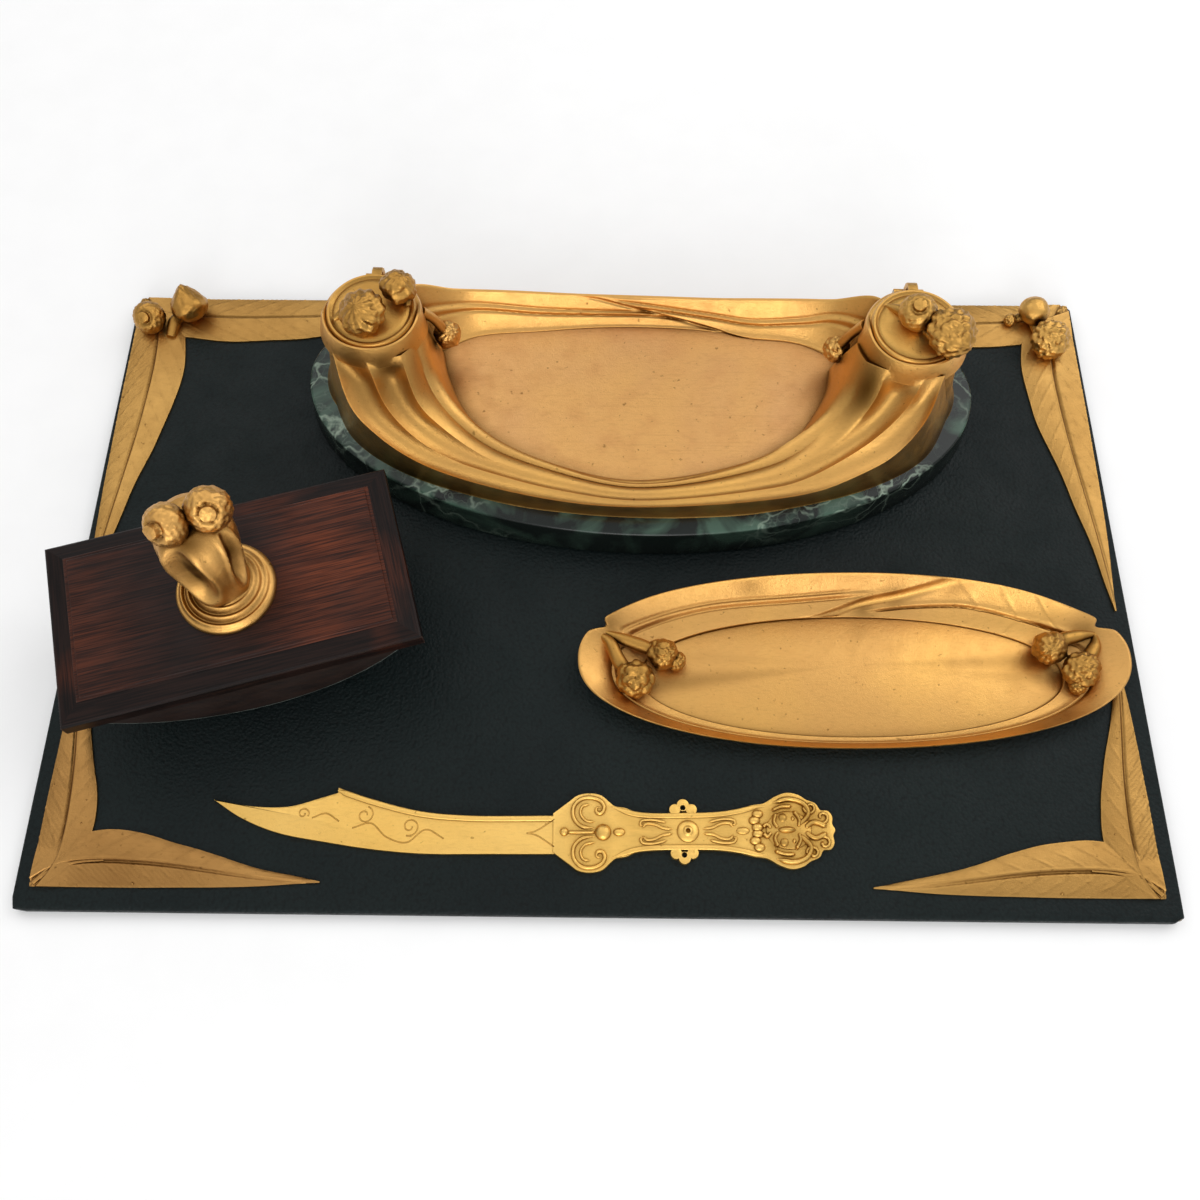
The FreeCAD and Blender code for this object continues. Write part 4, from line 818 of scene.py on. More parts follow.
# Marble base: outline half width, front reach, rear reach and the run of its rear corners
MARBLE_SIZES = (167.0, 87.5, 42.0, 62.0)
MARBLE_PROFILE = ((0.9, 0), (0.3, 0.25), (0, 0.9), (1.85, 15.6), (2.1, 16.3), (2.7, 16.8), (3.4, 17.0))
FELT_PROFILE = ((6.6, 0), (6.1, 0.15), (6.0, 0.5), (6.1, 0.85), (6.6, 1.0))
SCREW_PLACES = ((-1, 0), (1, 0), (0, -68.5))
SCREW_HOLES = ((6.8, 6.0), (2.4, 17.0))
HOLE_OVERRUN = 1
QUARTER_STEPS, BOW_STEPS = 40, 121


def bowed_outline(inset):
    """Half-ellipse front, rounded rear corners and a straight back."""
    half, front, rear, run = np.array(MARBLE_SIZES) - inset
    quarter = np.radians(np.linspace(0, 90, QUARTER_STEPS))
    right = np.column_stack([half - run + run * np.cos(quarter), rear * np.sin(quarter)])
    left = (right * (-1, 1))[::-1]
    bow = np.radians(np.linspace(180, 360, BOW_STEPS))[1:-1]
    return np.concatenate([right, left, np.column_stack([half * np.cos(bow), front * np.sin(bow)])])


def base_slab(profile, bottom):
    slab = rows_solid(profile_rings(bowed_outline, profile))
    return moved(slab, (*INKSTAND_PLACE[:2], bottom), INKSTAND_YAW)


def inkstand_base(stone, felt):
    holes = []
    for side, y in SCREW_PLACES:
        foot = (side * WELL_X, y, MARBLE_BOTTOM - MARBLE_TOP)
        for radius, depth in SCREW_HOLES:
            holes.append(moved(turned(((radius, -HOLE_OVERRUN), (radius, depth)), HOLE_SIDES), foot))
    slab = fused("marble_slab", [base_slab(MARBLE_PROFILE, MARBLE_BOTTOM)], in_inkstand(holes))
    fit(slab, stone, "inkstand", "marble", "marble_base")
    fit(fused("felt_sheet", [base_slab(FELT_PROFILE, PAD_TOP)]), felt, "inkstand", "felt", "base_felt")


# Inkstand casting: leaf lines in its own frame, from each well to the middle of the front
LEFT_LINES = {
    "foot": ((-153.5, -10.2, 0), (-139.3, -37.7, 0), (-112, -56.5, 0), (-62.8, -71.3, 0), (-29.8, -75.4, 0)),
    "crease": ((-143.2, -15.4, 44), (-133.6, -39.4, 30), (-121.5, -49.5, 22), (-104.1, -58.4, 15.5),
               (-80.4, -66.1, 12.5), (-36.5, -74.4, 10.5)),
    "midrib": ((-125.4, -24.5, 44), (-117.4, -38.2, 29), (-104.6, -48, 19), (-87.9, -55.7, 13.5),
               (-62.5, -62.9, 11), (-36.9, -68.5, 10)),
    "ridge": ((-110.1, -20.8, 45), (-102.6, -35.8, 29), (-91.5, -43.3, 20), (-73, -53, 13),
              (-54.3, -59.3, 10.5), (-36.2, -63.6, 9.5)),
    "groove": ((-104.6, -12.1, 43), (-98.5, -24.9, 25), (-89.3, -34.4, 17), (-72.3, -45.9, 11),
               (-46.1, -55.6, 8.5)),
    "crest": ((-101, -3, 42), (-96.5, -16, 27), (-88, -27, 17.5), (-72, -40, 11.8), (-45, -52, 8.8)),
    "inner": ((-97.4, 7.8, 5.5), (-94.4, -3.6, 5.5), (-87.1, -19.9, 5.5), (-77.9, -32.8, 5.5),
              (-59.8, -46.1, 5.5), (-42.2, -52.6, 5.5))}
RIGHT_LINES = {
    "foot": ((153.5, -12, 0), (139.3, -38.7, 0), (112, -56.5, 0), (62.8, -71.3, 0), (29.8, -75.4, 0)),
    "crease": ((137.1, -22.7, 45), (130.4, -39.5, 34), (118, -51.4, 22), (102.7, -58.7, 15.5),
               (84.8, -65.5, 11.8), (57.3, -71.1, 10.7)),
    "midrib": ((128, -24.5, 44), (121.9, -33.1, 33), (110.9, -42.3, 24), (95.6, -51, 16), (75.9, -60.4, 11.3),
               (57.5, -65.1, 10.2)),
    "ridge": ((111.4, -20.5, 45), (108.1, -28.4, 34), (101.7, -35, 23), (89.6, -44.1, 15), (67, -56, 10.5)),
    "groove": ((102.5, -14.7, 43), (98.4, -25.2, 27), (88.7, -34.6, 17), (76.4, -44.3, 11.3),
               (58, -52.8, 8.6)),
    "crest": ((99, -4, 42), (95.5, -16, 27), (87, -27, 17.5), (72, -39, 11.8), (52, -50, 8.9)),
    "inner": ((93.3, 5.9, 5.5), (91.1, -6.8, 5.5), (83.6, -22, 5.5), (72.9, -36.9, 5.5), (58.4, -46.1, 5.5))}
FRONT_LINES = {
    "foot": (0, -76.5, 0), "crease": (0, -76.3, 10.3), "midrib": (0, -72.6, 9.9), "ridge": (0, -68.6, 9.3),
    "groove": (0, -64.6, 7.6), "crest": (0, -62, 7.4), "inner": (0, -59.4, 5.5)}
BAND_ROWS = 80
BAND_POWER = 1.35
# Steps from each leaf line to the next, bulges of the outer wall and the folds, and the drawn-in ends
BAND_STEPS = (8, 14, 14, 9, 9, 9, 2, 4)
WALL_BULGE = -0.8
FOLD_BULGES = (0.7, 0.9, 0.5)
BAND_END_SHARES = (0.7, 0.7, 0.9)
# Depths of the outer and inner hollow by each well, and shares of the band over which they start and fade
LEFT_HOLLOWS = (6.4, 7.4)
RIGHT_HOLLOWS = (3.4, 7.0)
HOLLOW_START_SHARE, HOLLOW_FADE_SHARE = 0.09, 0.24
HOLLOW_REST = 0.5
TRAY_FLOOR = 5.5
WELL_TOP = 48.0
# Well outline: radius and height above the marble
WELL_OUTLINE = ((31.2, 0), (29, 5), (26.2, 17), (23.7, 33), (22.5, 42), (22.4, 44.4), (22.9, 45.2),
                (23.2, 46.2), (22.9, 47.3), (22.2, 47.9), (21.4, 48))
WELL_ROWS = 48
ROUND_SIDES = 96
POT_BORE = ((16.4, 10.0), (18.8, 45.6))
BORE_OVERRUN = 12
BORE_SIDES = 64
# Lip round a lid: radius, height, share of the rise and flare of its section, and where it sinks
LIP_SECTION = (
    (21.15, 45.5, 0, 0), (21.15, 47.4, 0.95, 0), (21.7, 47.95, 1, 0), (22.5, 47.7, 1, 0),
    (23.2, 46.4, 0.8, 0.2), (23.2, 44.0, 0.3, 1.2), (22.9, 40.5, 0, 2.6), (21.5, 40.0, 0, 0))
LIP_STEPS = 120
LIP_WAVE, LIP_WAVES = 0.5, 3
LIP_RISE = 3.0
LIP_END = 8.0
LIP_FADE = 12.0
# Dark hollows by the wells: the leaf lines beside each, and its darkness left and right
HOLLOW_SHADES = (("crease", "midrib", 0.85, 0.3), ("midrib", "ridge", 1.0, 0.45),
                 ("ridge", "groove", 0.4, 1.0))
HOLLOW_SHADE_PLACE, HOLLOW_SHADE_SPREAD = 0.08, 0.12
HOLLOW_SHADE_REACH = 8.0
# Darkness along the foot of the casting's outer wall
FOOT_SHADE = 0.9
# Hinge behind a well: distance and height of its pin, radii, half width of the strap and span of the lugs
HINGE_PIN = (26.0, 41.0)
BARREL_RADIUS = 1.9
PIN_HOLE_RADIUS = 1.3
STRAP_HALF = 2.3
LUG_SPAN = (2.5, 6.95)
ARC_STEPS = 15
# Lugs seen from the side: distance behind the well's axis and height
LUG_FOOT = ((18.0, 33.5), (22.5, 31.5), (26.5, 34.0))
LUG_SHOULDER = 38.0
LUG_TOPS, LUG_TOP_DROP = (21.5, 18.0), 0.8
# Small buds that hang beside the wells: place, radius, height, kind, lean, and their stems
SMALL_BUDS = (((-93.5, 6.5, 25.0), 6.2, 12.5, "scale", (25, 25)),
              ((94.0, 6.5, 22.5), 6.0, 12.0, "berry", (25, -25)))
SMALL_STEMS = (((-103, 4, 45), (-98.5, 5.5, 38), (-95, 6, 30)),
               ((102.5, 4, 45), (98.5, 5.5, 36), (95, 6, 27)))
SMALL_STEM_RADII = (2.6, 2.2, 2.4)


def band_shares():
    """Shares of the way from a well to the middle of the front, closer together near the well."""
    return np.linspace(0, 1, BAND_ROWS) ** BAND_POWER


def band_line(name):
    """One leaf line from the left well round the front to the right well."""
    left, right = LEFT_LINES[name], RIGHT_LINES[name]
    curve = smooth_curve([*left, FRONT_LINES[name], *right[::-1]])
    split = int(np.argmin(np.abs(curve[:, 0])))
    left_half = spaced(curve[:split + 1], band_shares())
    right_half = spaced(curve[split:][::-1], band_shares())
    return np.concatenate([left_half, right_half[-2::-1]])


def bridge(start, end, count, rise):
    """Rows of points from one line towards the next, bulged off the straight way by a rise."""
    share = np.linspace(0, 1, count, endpoint=False)
    chord = end - start
    normal = np.cross(np.gradient(start + end, axis=0), chord)
    normal /= np.linalg.norm(normal, axis=1)[:, None]
    bulge = (4 * share * (1 - share))[None, :, None] * np.asarray(rise)[:, None, None]
    return start[:, None] + chord[:, None] * share[None, :, None] + normal[:, None] * bulge


def hollow_rise(left_depth, right_depth):
    """Depth of a hollow along the band: deep just under each lid, shallow at the front."""
    near = band_shares()
    shape = eased(near / HOLLOW_START_SHARE) * np.exp(-near / HOLLOW_FADE_SHARE)
    left, right = [depth * shape + HOLLOW_REST for depth in (left_depth, right_depth)]
    return -np.concatenate([left, right[-2::-1]])


def front_band():
    """Band of leaf folds round the front of the tray, its ends hidden in the wells."""
    lines = [band_line(name) for name in FRONT_LINES]
    under = lines[-1].copy()
    under[:, 2] = 0
    lines += [under, lines[0]]
    even = np.ones(len(under))
    rises = [WALL_BULGE * even]
    rises += [hollow_rise(left, right) for left, right in zip(LEFT_HOLLOWS, RIGHT_HOLLOWS)]
    rises += [bulge * even for bulge in (*FOLD_BULGES, 0, 0)]
    rings = np.concatenate([bridge(start, end, count, rise) for start, end, count, rise
                            in zip(lines, lines[1:], BAND_STEPS, rises)], axis=1)
    ends = []
    for x, ring in ((-WELL_X, rings[0]), (WELL_X, rings[-1])):
        axis = np.array((x, 0, 0))
        ends.append(axis + (ring - axis) * BAND_END_SHARES)
    return rows_solid(np.concatenate([ends[:1], rings, ends[1:]]))


# Back wall: place along it, floor line, top edge and its height, and then, as shares of the way up,
# the left leaf's rib, the right leaf's edge and its rib
BACK_LINES = (
    (-120, 0, 16, 38, 0.64, 1.6, 1.6), (-111, 2, 25.5, 36, 0.64, 1.6, 1.6),
    (-93, 14, 32.5, 25, 0.7, 1.6, 1.6), (-81, 20, 35, 21.5, 0.68, 1.56, 1.5),
    (-51, 24, 36.4, 19.6, 0.57, 1.3, 1.3), (-21, 27.5, 36.6, 18.8, 0.51, 0.93, 0.9),
    (9, 28.5, 36.6, 18.2, 0.48, 0.5, 0.68), (35, 27.2, 36.6, 18.6, 0.32, 0.146, 0.52),
    (55, 24.2, 36.6, 19.4, 0.116, -0.07, 0.44), (78, 21.8, 35.5, 21, -0.1, -0.2, 0.54),
    (93, 15, 32.5, 25, -0.1, -0.2, 0.7), (111, 2, 25.5, 37, -0.1, -0.2, 0.63),
    (120, 0, 16, 39, -0.1, -0.2, 0.63))
WALL_ROWS = 240
WALL_COLUMNS = 60
WALL_THICKNESS = 1.9
# Wave of the wall's top edge, and how its foot sinks into the floor and curves up from it
TOP_WAVE, TOP_WAVE_RUN, TOP_WAVE_START = 0.35, 13, 1
FLOOR_LAP = 0.4
WALL_CURVE_POWER = 1.2
# Right leaf's edge, as shares of the way up: its step and fade, and the groove before it
LEAF_STEP_SHARE, LEAF_FADE_SHARE = 0.07, 0.5
LEAF_GROOVE, LEAF_GROOVE_OFFSET, LEAF_GROOVE_SHARE = 0.6, 0.03, 0.05
# Plain edge at the wall's top and bead along its foot, as shares of the way up
PLAIN_TOP_SHARE = 0.08
FOOT_BEAD, FOOT_BEAD_PLACE, FOOT_BEAD_SHARE = 0.7, 0.06, 0.05
# Way in which the leaves swell off the wall, forwards and up, and the rounding of its top
SWELL_WAY = (-0.75, 0.65)
BACK_EDGE = (-0.2, -0.7)
TOP_EDGE = (1.0, 0.35)
# A midrib's ridge and the grooves beside it: rise and offset, with one width, as shares of the way up
RIB_PARTS = ((0.45, 0), (-0.6, -0.075), (-0.5, 0.075))
RIB_SHARE = 0.035
# Floor of the tray: half width, reach behind and in front, and roundness of its outline
PLATE_HALF = 108
PLATE_REACHES = (34.0, 66.0)
PLATE_SQUARE_SHARE = 0.8
PLATE_SIDES = 120


def rib_relief(share, rib):
    """A midrib drawn as two grooves with a ridge between them."""
    return sum(rise * bell(share, rib + offset, RIB_SHARE) for rise, offset in RIB_PARTS)


def back_wall():
    """Wall that leans back from the tray, with two long leaves that cross on its front."""
    x = np.linspace(BACK_LINES[0][0], BACK_LINES[-1][0], WALL_ROWS)
    foot, top, rise, left_rib, edge, right_rib = [line[:, None] for line in along_table(BACK_LINES, x)]
    rise = rise + TOP_WAVE * np.sin(x / TOP_WAVE_RUN + TOP_WAVE_START)[:, None]
    up = np.linspace(1, 0, WALL_COLUMNS)[None, :]
    height = TRAY_FLOOR - FLOOR_LAP + (rise - TRAY_FLOOR + FLOOR_LAP) * up ** WALL_CURVE_POWER
    front = foot + (top - foot) * up
    over = eased((up - edge) / LEAF_STEP_SHARE)
    swell = over * np.exp(-np.clip(up - edge, 0, None) / LEAF_FADE_SHARE)
    swell = swell + rib_relief(up, left_rib) * (1 - over)
    swell = swell + rib_relief(up, right_rib) * over
    swell = swell - LEAF_GROOVE * bell(up, edge - LEAF_GROOVE_OFFSET, LEAF_GROOVE_SHARE)
    swell = swell * eased((1 - up) / PLAIN_TOP_SHARE)
    swell = swell + FOOT_BEAD * bell(up, FOOT_BEAD_PLACE, FOOT_BEAD_SHARE)
    out, lift = SWELL_WAY
    along = np.broadcast_to(x[:, None], height.shape)
    face = np.stack([along, front + out * swell, height + lift * swell], -1)
    top, rise = top[:, 0], rise[:, 0]
    back = top + WALL_THICKNESS
    backs = ((foot[:, 0], 0 * x), (back, 0 * x), (back + BACK_EDGE[0], rise + BACK_EDGE[1]),
             (top + TOP_EDGE[0], rise + TOP_EDGE[1]))
    rings = [face] + [np.column_stack([x, line, level])[:, None] for line, level in backs]
    return rows_solid(np.concatenate(rings, axis=1))


def tray_plate():
    angles = round_angles(PLATE_SIDES)
    reach = np.where(np.sin(angles) > 0, *PLATE_REACHES)
    outline = oval((PLATE_HALF, reach), angles, PLATE_SQUARE_SHARE)
    return rows_solid(level_rings((outline, outline), (0, TRAY_FLOOR)))


def upright(outline, start, end):
    """Plate with its outline in the YZ plane, between two places along X."""
    points, faces = plate(outline, end - start)
    return points[:, [2, 0, 1]] + (start, 0, 0), faces


def barrel_arc(start, end):
    angles = np.radians(np.linspace(start, end, ARC_STEPS))
    return [(HINGE_PIN[0] + BARREL_RADIUS * math.cos(angle), HINGE_PIN[1] + BARREL_RADIUS * math.sin(angle))
            for angle in angles]


def hinge_lugs(x):
    back, height = HINGE_PIN
    outline = [*LUG_FOOT, (back + BARREL_RADIUS, LUG_SHOULDER)] + barrel_arc(0, 180)
    outline += [(place, height - LUG_TOP_DROP) for place in LUG_TOPS]
    near, far = LUG_SPAN
    return [upright(outline, x - far, x - near), upright(outline, x + near, x + far)]


def well(x):
    return moved(turned(smooth_line(WELL_OUTLINE, WELL_ROWS), ROUND_SIDES), (x, 0, 0))


def lid_lip(x):
    """Lip of the casing round the front of a lid, sinking to nothing behind it."""
    rings = []
    for angle in round_angles(LIP_STEPS):
        fade = eased((LIP_END - LIP_SECTION[0][0] * math.sin(angle)) / LIP_FADE)
        rise = (LIP_RISE + LIP_WAVE * math.sin(LIP_WAVES * angle + x)) * fade
        ring = []
        for radius, height, share, flare in LIP_SECTION:
            reach = radius + flare * fade
            ring.append((x + reach * math.cos(angle), reach * math.sin(angle), height + rise * share))
        rings.append(ring)
    return rows_solid(rings, looped=True)


def hollow_spots():
    """Dark places of the casting, and how dark they are: its foot and the leaf hollows near the wells."""
    fade = bell(band_shares(), HOLLOW_SHADE_PLACE, HOLLOW_SHADE_SPREAD)
    points = [band_line("foot")]
    strengths = [np.full(len(points[0]), FOOT_SHADE)]
    for first, second, left, right in HOLLOW_SHADES:
        points.append((band_line(first) + band_line(second)) / 2)
        strengths += [left * fade, right * fade[-2::-1]]
    return moved((np.concatenate(points), None), INKSTAND_PLACE, INKSTAND_YAW)[0], np.concatenate(strengths)


def pot_bore(x):
    top = WELL_TOP + BORE_OVERRUN
    return [moved(turned(((radius, bottom), (radius, top)), BORE_SIDES), (x, 0, 0))
            for radius, bottom in POT_BORE]


def inkstand(material):
    wells = (-WELL_X, WELL_X)
    solids = [front_band(), back_wall(), tray_plate()]
    solids += [well(x) for x in wells] + [lid_lip(x) for x in wells]
    solids += [lug for x in wells for lug in hinge_lugs(x)]
    solids += buds(SMALL_BUDS)
    solids += [tube(smooth_line(points, STEM_ROWS), SMALL_STEM_RADII) for points in SMALL_STEMS]
    cuts = [cut for x in wells for cut in pot_bore(x)]
    piece = fused("inkstand_casting", in_inkstand(solids), in_inkstand(cuts))
    shade(piece, *hollow_spots(), HOLLOW_SHADE_REACH)
    fit(piece, material, "inkstand", "gilt_bronze", "inkstand_body")


# Lids, in the inkstand's frame
LID_GAP = 0.1
LID_BOTTOM = WELL_TOP + LID_GAP
LID_OUTLINE = ((0, 0), (20.3, 0), (20.8, 0.8), (20.6, 2.1), (19.9, 2.9), (19.0, 2.9), (18.3, 2.3),
               (17.7, 2.1), (17.1, 2.5), (16.2, 3.0), (14.4, 3.1), (8, 3.8), (0, 4.2))
PIN_HOLE_HALF = 8
# Strap seen from the side: distance behind the well's axis and height
STRAP_TOP = ((15.0, 49.6), (23.6, 49.6), (26.0, 48.6), (27.6, 46.2))
STRAP_SHOULDER, STRAP_INNER = 43.0, 47.8
STRAP_FEET, STRAP_LIFT = (23.2, 15.0), 0.05
# Buds of the lids: place from the lid's centre, radius, height, kind and lean
LID_BUDS = {
    "left": (((-2.0, -6.4, 9.0), 10.4, 15.0, "tuft", (18, -14)),
             ((13.0, 8.0, 9.2), 7.8, 14.0, "scale", (-10, 16))),
    "right": (((-1.5, 2.0, 9.6), 8.3, 14.5, "grain", (12, -8)),
              ((12.6, -8.6, 9.6), 10.4, 15.5, "rough", (16, 10)))}
LID_STEMS = {
    "left": ((((-16, -6, 2.4), (-11, -2, 4.5), (-5, 3, 6)), (1.2, 2.4, 3.0)),
             (((17, 3, 2.2), (15.5, 7, 4.5), (12, 9, 6)), (1.4, 2.2, 2.8))),
    "right": ((((-13, 11, 2.4), (-9, 7.5, 4.5), (-5, 4, 6)), (1.2, 2.2, 2.8)),
              (((3, -3, 3.4), (6, -5, 5), (9, -7, 6)), (2.4, 3.0, 3.4)))}


def lid_strap(x):
    """Arm over the well's rim and down to the lid's hinge barrel."""
    back = HINGE_PIN[0]
    outline = [*STRAP_TOP, (back + BARREL_RADIUS, STRAP_SHOULDER)] + barrel_arc(0, -180)
    outline.append((back - BARREL_RADIUS, STRAP_INNER))
    outline += [(place, LID_BOTTOM + STRAP_LIFT) for place in STRAP_FEET]
    return upright(outline, x - STRAP_HALF, x + STRAP_HALF)


def lid(side, x, material):
    body = side + "_lid"
    disc = moved(turned(LID_OUTLINE, ROUND_SIDES), (x, 0, LID_BOTTOM))
    hole = turned(((PIN_HOLE_RADIUS, -PIN_HOLE_HALF), (PIN_HOLE_RADIUS, PIN_HOLE_HALF)), PIN_HOLE_SIDES)
    hole = moved(hole, (x, *HINGE_PIN), 0, (0, 90))
    piece = fused("lid_disc_" + side, in_inkstand([disc, lid_strap(x)]), in_inkstand([hole]))
    fit(piece, material, body, "gilt_bronze", "lid_" + side)
    turn = np.array(Matrix.Rotation(math.radians(INKSTAND_YAW), 3, "Z"))
    place = np.array(INKSTAND_PLACE) + turn @ np.array((x, 0, LID_BOTTOM))
    bud_group("lid_bud_group_" + side, LID_BUDS[side], place, INKSTAND_YAW, material, body,
              "lid_buds_" + side, LID_STEMS[side])


# Pen tray: full oval with an upturned rim of leaves
TRAY_HALF = (125.5, 41.0)
TRAY_FLOOR_HALF = (97.0, 29.0)
TRAY_FLOOR_SHIFT = -5.5
TRAY_SHEET = 2.0
TRAY_SQUARE_SHARE = 0.91
TRAY_FLOOR_SQUARE_SHARE = 0.97
TRAY_ANGLES = 520
RIM_ROWS = 84
RIM_ROW_POWER, RIM_CURVE_POWER = 1.15, 2.4
RIM_WAVE, RIM_WAVES, RIM_WAVE_START = 0.5, 5, 0.6
TRAY_NOTCHES = (22.0, 158.0)
# Places round the tray where its rim sinks: direction, width in degrees and depth
RIM_DIPS = ((36, 14, 2.4), (146, 11, 1.4))
# Dark places of the tray's rim and round its buds: x, y, height and darkness
TRAY_SHADES = ((8, 28, 6, 0.7), (22, 31.5, 8, 0.6), (50, 37, 12, 0.5), (-45, 36, 11, 0.5), (-112, 16, 9, 0.6),
               (108, 14, 9, 0.6), (-97, -11, 3, 0.7), (-85, 0, 3, 0.5), (92, 2, 3, 0.6), (102, -8, 3, 0.8))
TRAY_SHADE_REACH = 6.5
# Notches where the rear leaves meet the rim: width and run in degrees, how far they cut in, and depth
NOTCH_WIDTH, NOTCH_RUN = 3.0, 5
NOTCH_SHARE, NOTCH_DEPTH = 0.035, 2.4
TRAY_LIP = 12.0
TRAY_REAR_RISE = 3.5
# Lines on the rear rim: place along the tray and share of the way from the floor to the edge
LEFT_RIB = ((-130, 0.68), (-112, 0.62), (-92, 0.56), (-63, 0.53), (-27, 0.48), (9.5, 0.58), (40, 0.75))
RIGHT_RIB = ((-15, 0.02), (10, 0.15), (27, 0.28), (45, 0.4), (55, 0.45), (78, 0.44), (91, 0.46),
             (103, 0.5), (130, 0.6))
CROSS_EDGE = ((-130, -0.5), (-40, -0.3), (-20, -0.05), (-5, 0.19), (6, 0.4), (25, 0.62), (41, 0.86),
              (52, 1.05), (80, 1.5), (130, 2))
# Where the rear leaves cross: its place and reach, the left leaf's lip, and the groove before that lip
CROSS_PLACE, CROSS_REACH = 14, 42
CROSS_LIP, CROSS_STEP_SHARE, CROSS_FADE_SHARE = 0.9, 0.05, 0.22
CROSS_GROOVE, CROSS_GROOVE_OFFSET, CROSS_GROOVE_SHARE = 0.9, 0.07, 0.09
CROSS_GROOVE_REACH = 34
# Ribs of the rear leaves: the left one's rise and run-out, the right one's line, groove and run-in
LEFT_RIB_RISE, LEFT_RIB_RUN = 0.8, 20
RIGHT_RIB_RISE, RIGHT_RIB_OFFSET, RIGHT_RIB_SHARE = 0.3, 0.05, 0.06
RIGHT_RIB_GROOVE, RIGHT_RIB_GROOVE_SHARE = 0.7, 0.028
RIGHT_RIB_START, RIGHT_RIB_RUN = 6, 14
REAR_RELIEF = 1.5
# Fold round the ends and front: its place and rise, its groove, the hollow inside it and its least strength
RIM_FOLD_SHARE, RIM_FOLD_RISE = 0.46, 0.9
FOLD_GROOVE, FOLD_GROOVE_SHARE = 0.8, 0.03
FOLD_HOLLOW, FOLD_HOLLOW_PLACE, FOLD_HOLLOW_SHARE = 0.5, 0.3, 0.12
FOLD_LEAST_SHARE = 0.25
# Where the relief starts and ends, and the rounding of the rim
RELIEF_START_SHARE, RELIEF_END_SHARE = 0.08, 0.06
RIM_ROUND, RIM_ROUND_SHARE = 0.8, 0.015
# Step round the floor: height, its wave, its run and fade, and the line along its foot
STEP_HEIGHT, STEP_WAVE, STEP_WAVES, STEP_WAVE_START = 0.75, 0.25, 3, 1
STEP_SHARE, STEP_FADE_SHARE = 0.018, 0.25
STEP_LINE, STEP_LINE_SHARE = 0.25, 0.01
# Thinning of the sheet towards the rim, and the floor's inner rings
RIM_THINNING = 0.4
FLOOR_HUB_SHARE, FLOOR_EDGE_SHARE = 0.02, 0.985
TRAY_VEINS = (62.0, 80.0, 97.0)
TRAY_VEIN_DEPTH, TRAY_VEIN_WIDTH, TRAY_VEIN_SLANT = 0.22, 0.7, 18
# Buds of the tray: place, radius, height, kind and lean
TRAY_BUDS = {
    "left": (((-99.5, -9.0, 9.0), 7.9, 13.5, "rosette", (40, -8)),
             ((-87.0, 3.0, 8.8), 6.8, 15.0, "scale", (28, 20)),
             ((-80.6, 0.5, 6.6), 4.3, 8.5, "berry", (20, 30))),
    "right": (((90.5, 6.0, 9.0), 7.2, 16.0, "scale", (32, -24)),
              ((103.0, -4.5, 9.0), 8.0, 13.5, "rough", (34, 8)),
              ((101.5, -11.5, 6.0), 3.6, 7.0, "berry", (40, 0)))}
TRAY_STEMS = {
    "left": ((((-116, 13, 8.5), (-111, 8.5, 9.5), (-107, 0, 9), (-102, -7, 8)), (1.4, 3.0, 3.4, 3.0)),
             (((-113, 13.5, 9), (-106, 10.5, 9.5), (-98, 7.5, 9), (-89, 4, 8.5)), (1.2, 2.8, 3.4, 3.0))),
    "right": ((((112, 12.5, 9), (105, 11.6, 9.8), (98, 10, 9.4), (91, 7, 8.5)), (1.2, 2.8, 3.6, 3.2)),
              (((112, 12, 9), (111, 7, 9.5), (107.5, 1.5, 9.4), (104, -3.5, 8.5)), (1.2, 3.0, 3.6, 3.0)))}


def oval(half, angles, square):
    cos, sin = np.cos(angles), np.sin(angles)
    return np.column_stack([half[0] * np.sign(cos) * np.abs(cos) ** square,
                            half[1] * np.sign(sin) * np.abs(sin) ** square])


def rear_relief(share, x):
    """Two leaves along the rear rim: the left one ends over the right one."""
    left_rib, right_rib, cross = [along_table(table, x)[0] for table in (LEFT_RIB, RIGHT_RIB, CROSS_EDGE)]
    over = eased((share - cross) / CROSS_STEP_SHARE)
    lip = over * np.exp(-np.clip(share - cross, 0, None) / CROSS_FADE_SHARE)
    lip = lip * bell(x, CROSS_PLACE, CROSS_REACH)
    groove = CROSS_GROOVE * bell(share, cross - CROSS_GROOVE_OFFSET, CROSS_GROOVE_SHARE) * (1 - over)
    groove = groove * bell(x, CROSS_PLACE, CROSS_GROOVE_REACH)
    left = rib_relief(share, left_rib) * over * eased((CROSS_PLACE - x) / LEFT_RIB_RUN)
    right = RIGHT_RIB_RISE * bell(share, right_rib + RIGHT_RIB_OFFSET, RIGHT_RIB_SHARE)
    right = (right - RIGHT_RIB_GROOVE * bell(share, right_rib, RIGHT_RIB_GROOVE_SHARE)) * (1 - over)
    right = right * eased((x - RIGHT_RIB_START) / RIGHT_RIB_RUN)
    slanted = x + TRAY_VEIN_SLANT * np.abs(share - right_rib)
    veins = sum(bell(slanted, place, TRAY_VEIN_WIDTH) for place in TRAY_VEINS) * (1 - over)
    return CROSS_LIP * lip - groove + LEFT_RIB_RISE * left + right - TRAY_VEIN_DEPTH * veins


def rim_fold(share):
    """Fold of the rim: a swell outside a groove, and a hollow inside it."""
    fold = RIM_FOLD_RISE * np.sin(math.pi * np.clip((share - RIM_FOLD_SHARE) / (1 - RIM_FOLD_SHARE), 0, 1))
    fold = fold - FOLD_GROOVE * bell(share, RIM_FOLD_SHARE, FOLD_GROOVE_SHARE)
    return fold - FOLD_HOLLOW * bell(share, FOLD_HOLLOW_PLACE, FOLD_HOLLOW_SHARE)


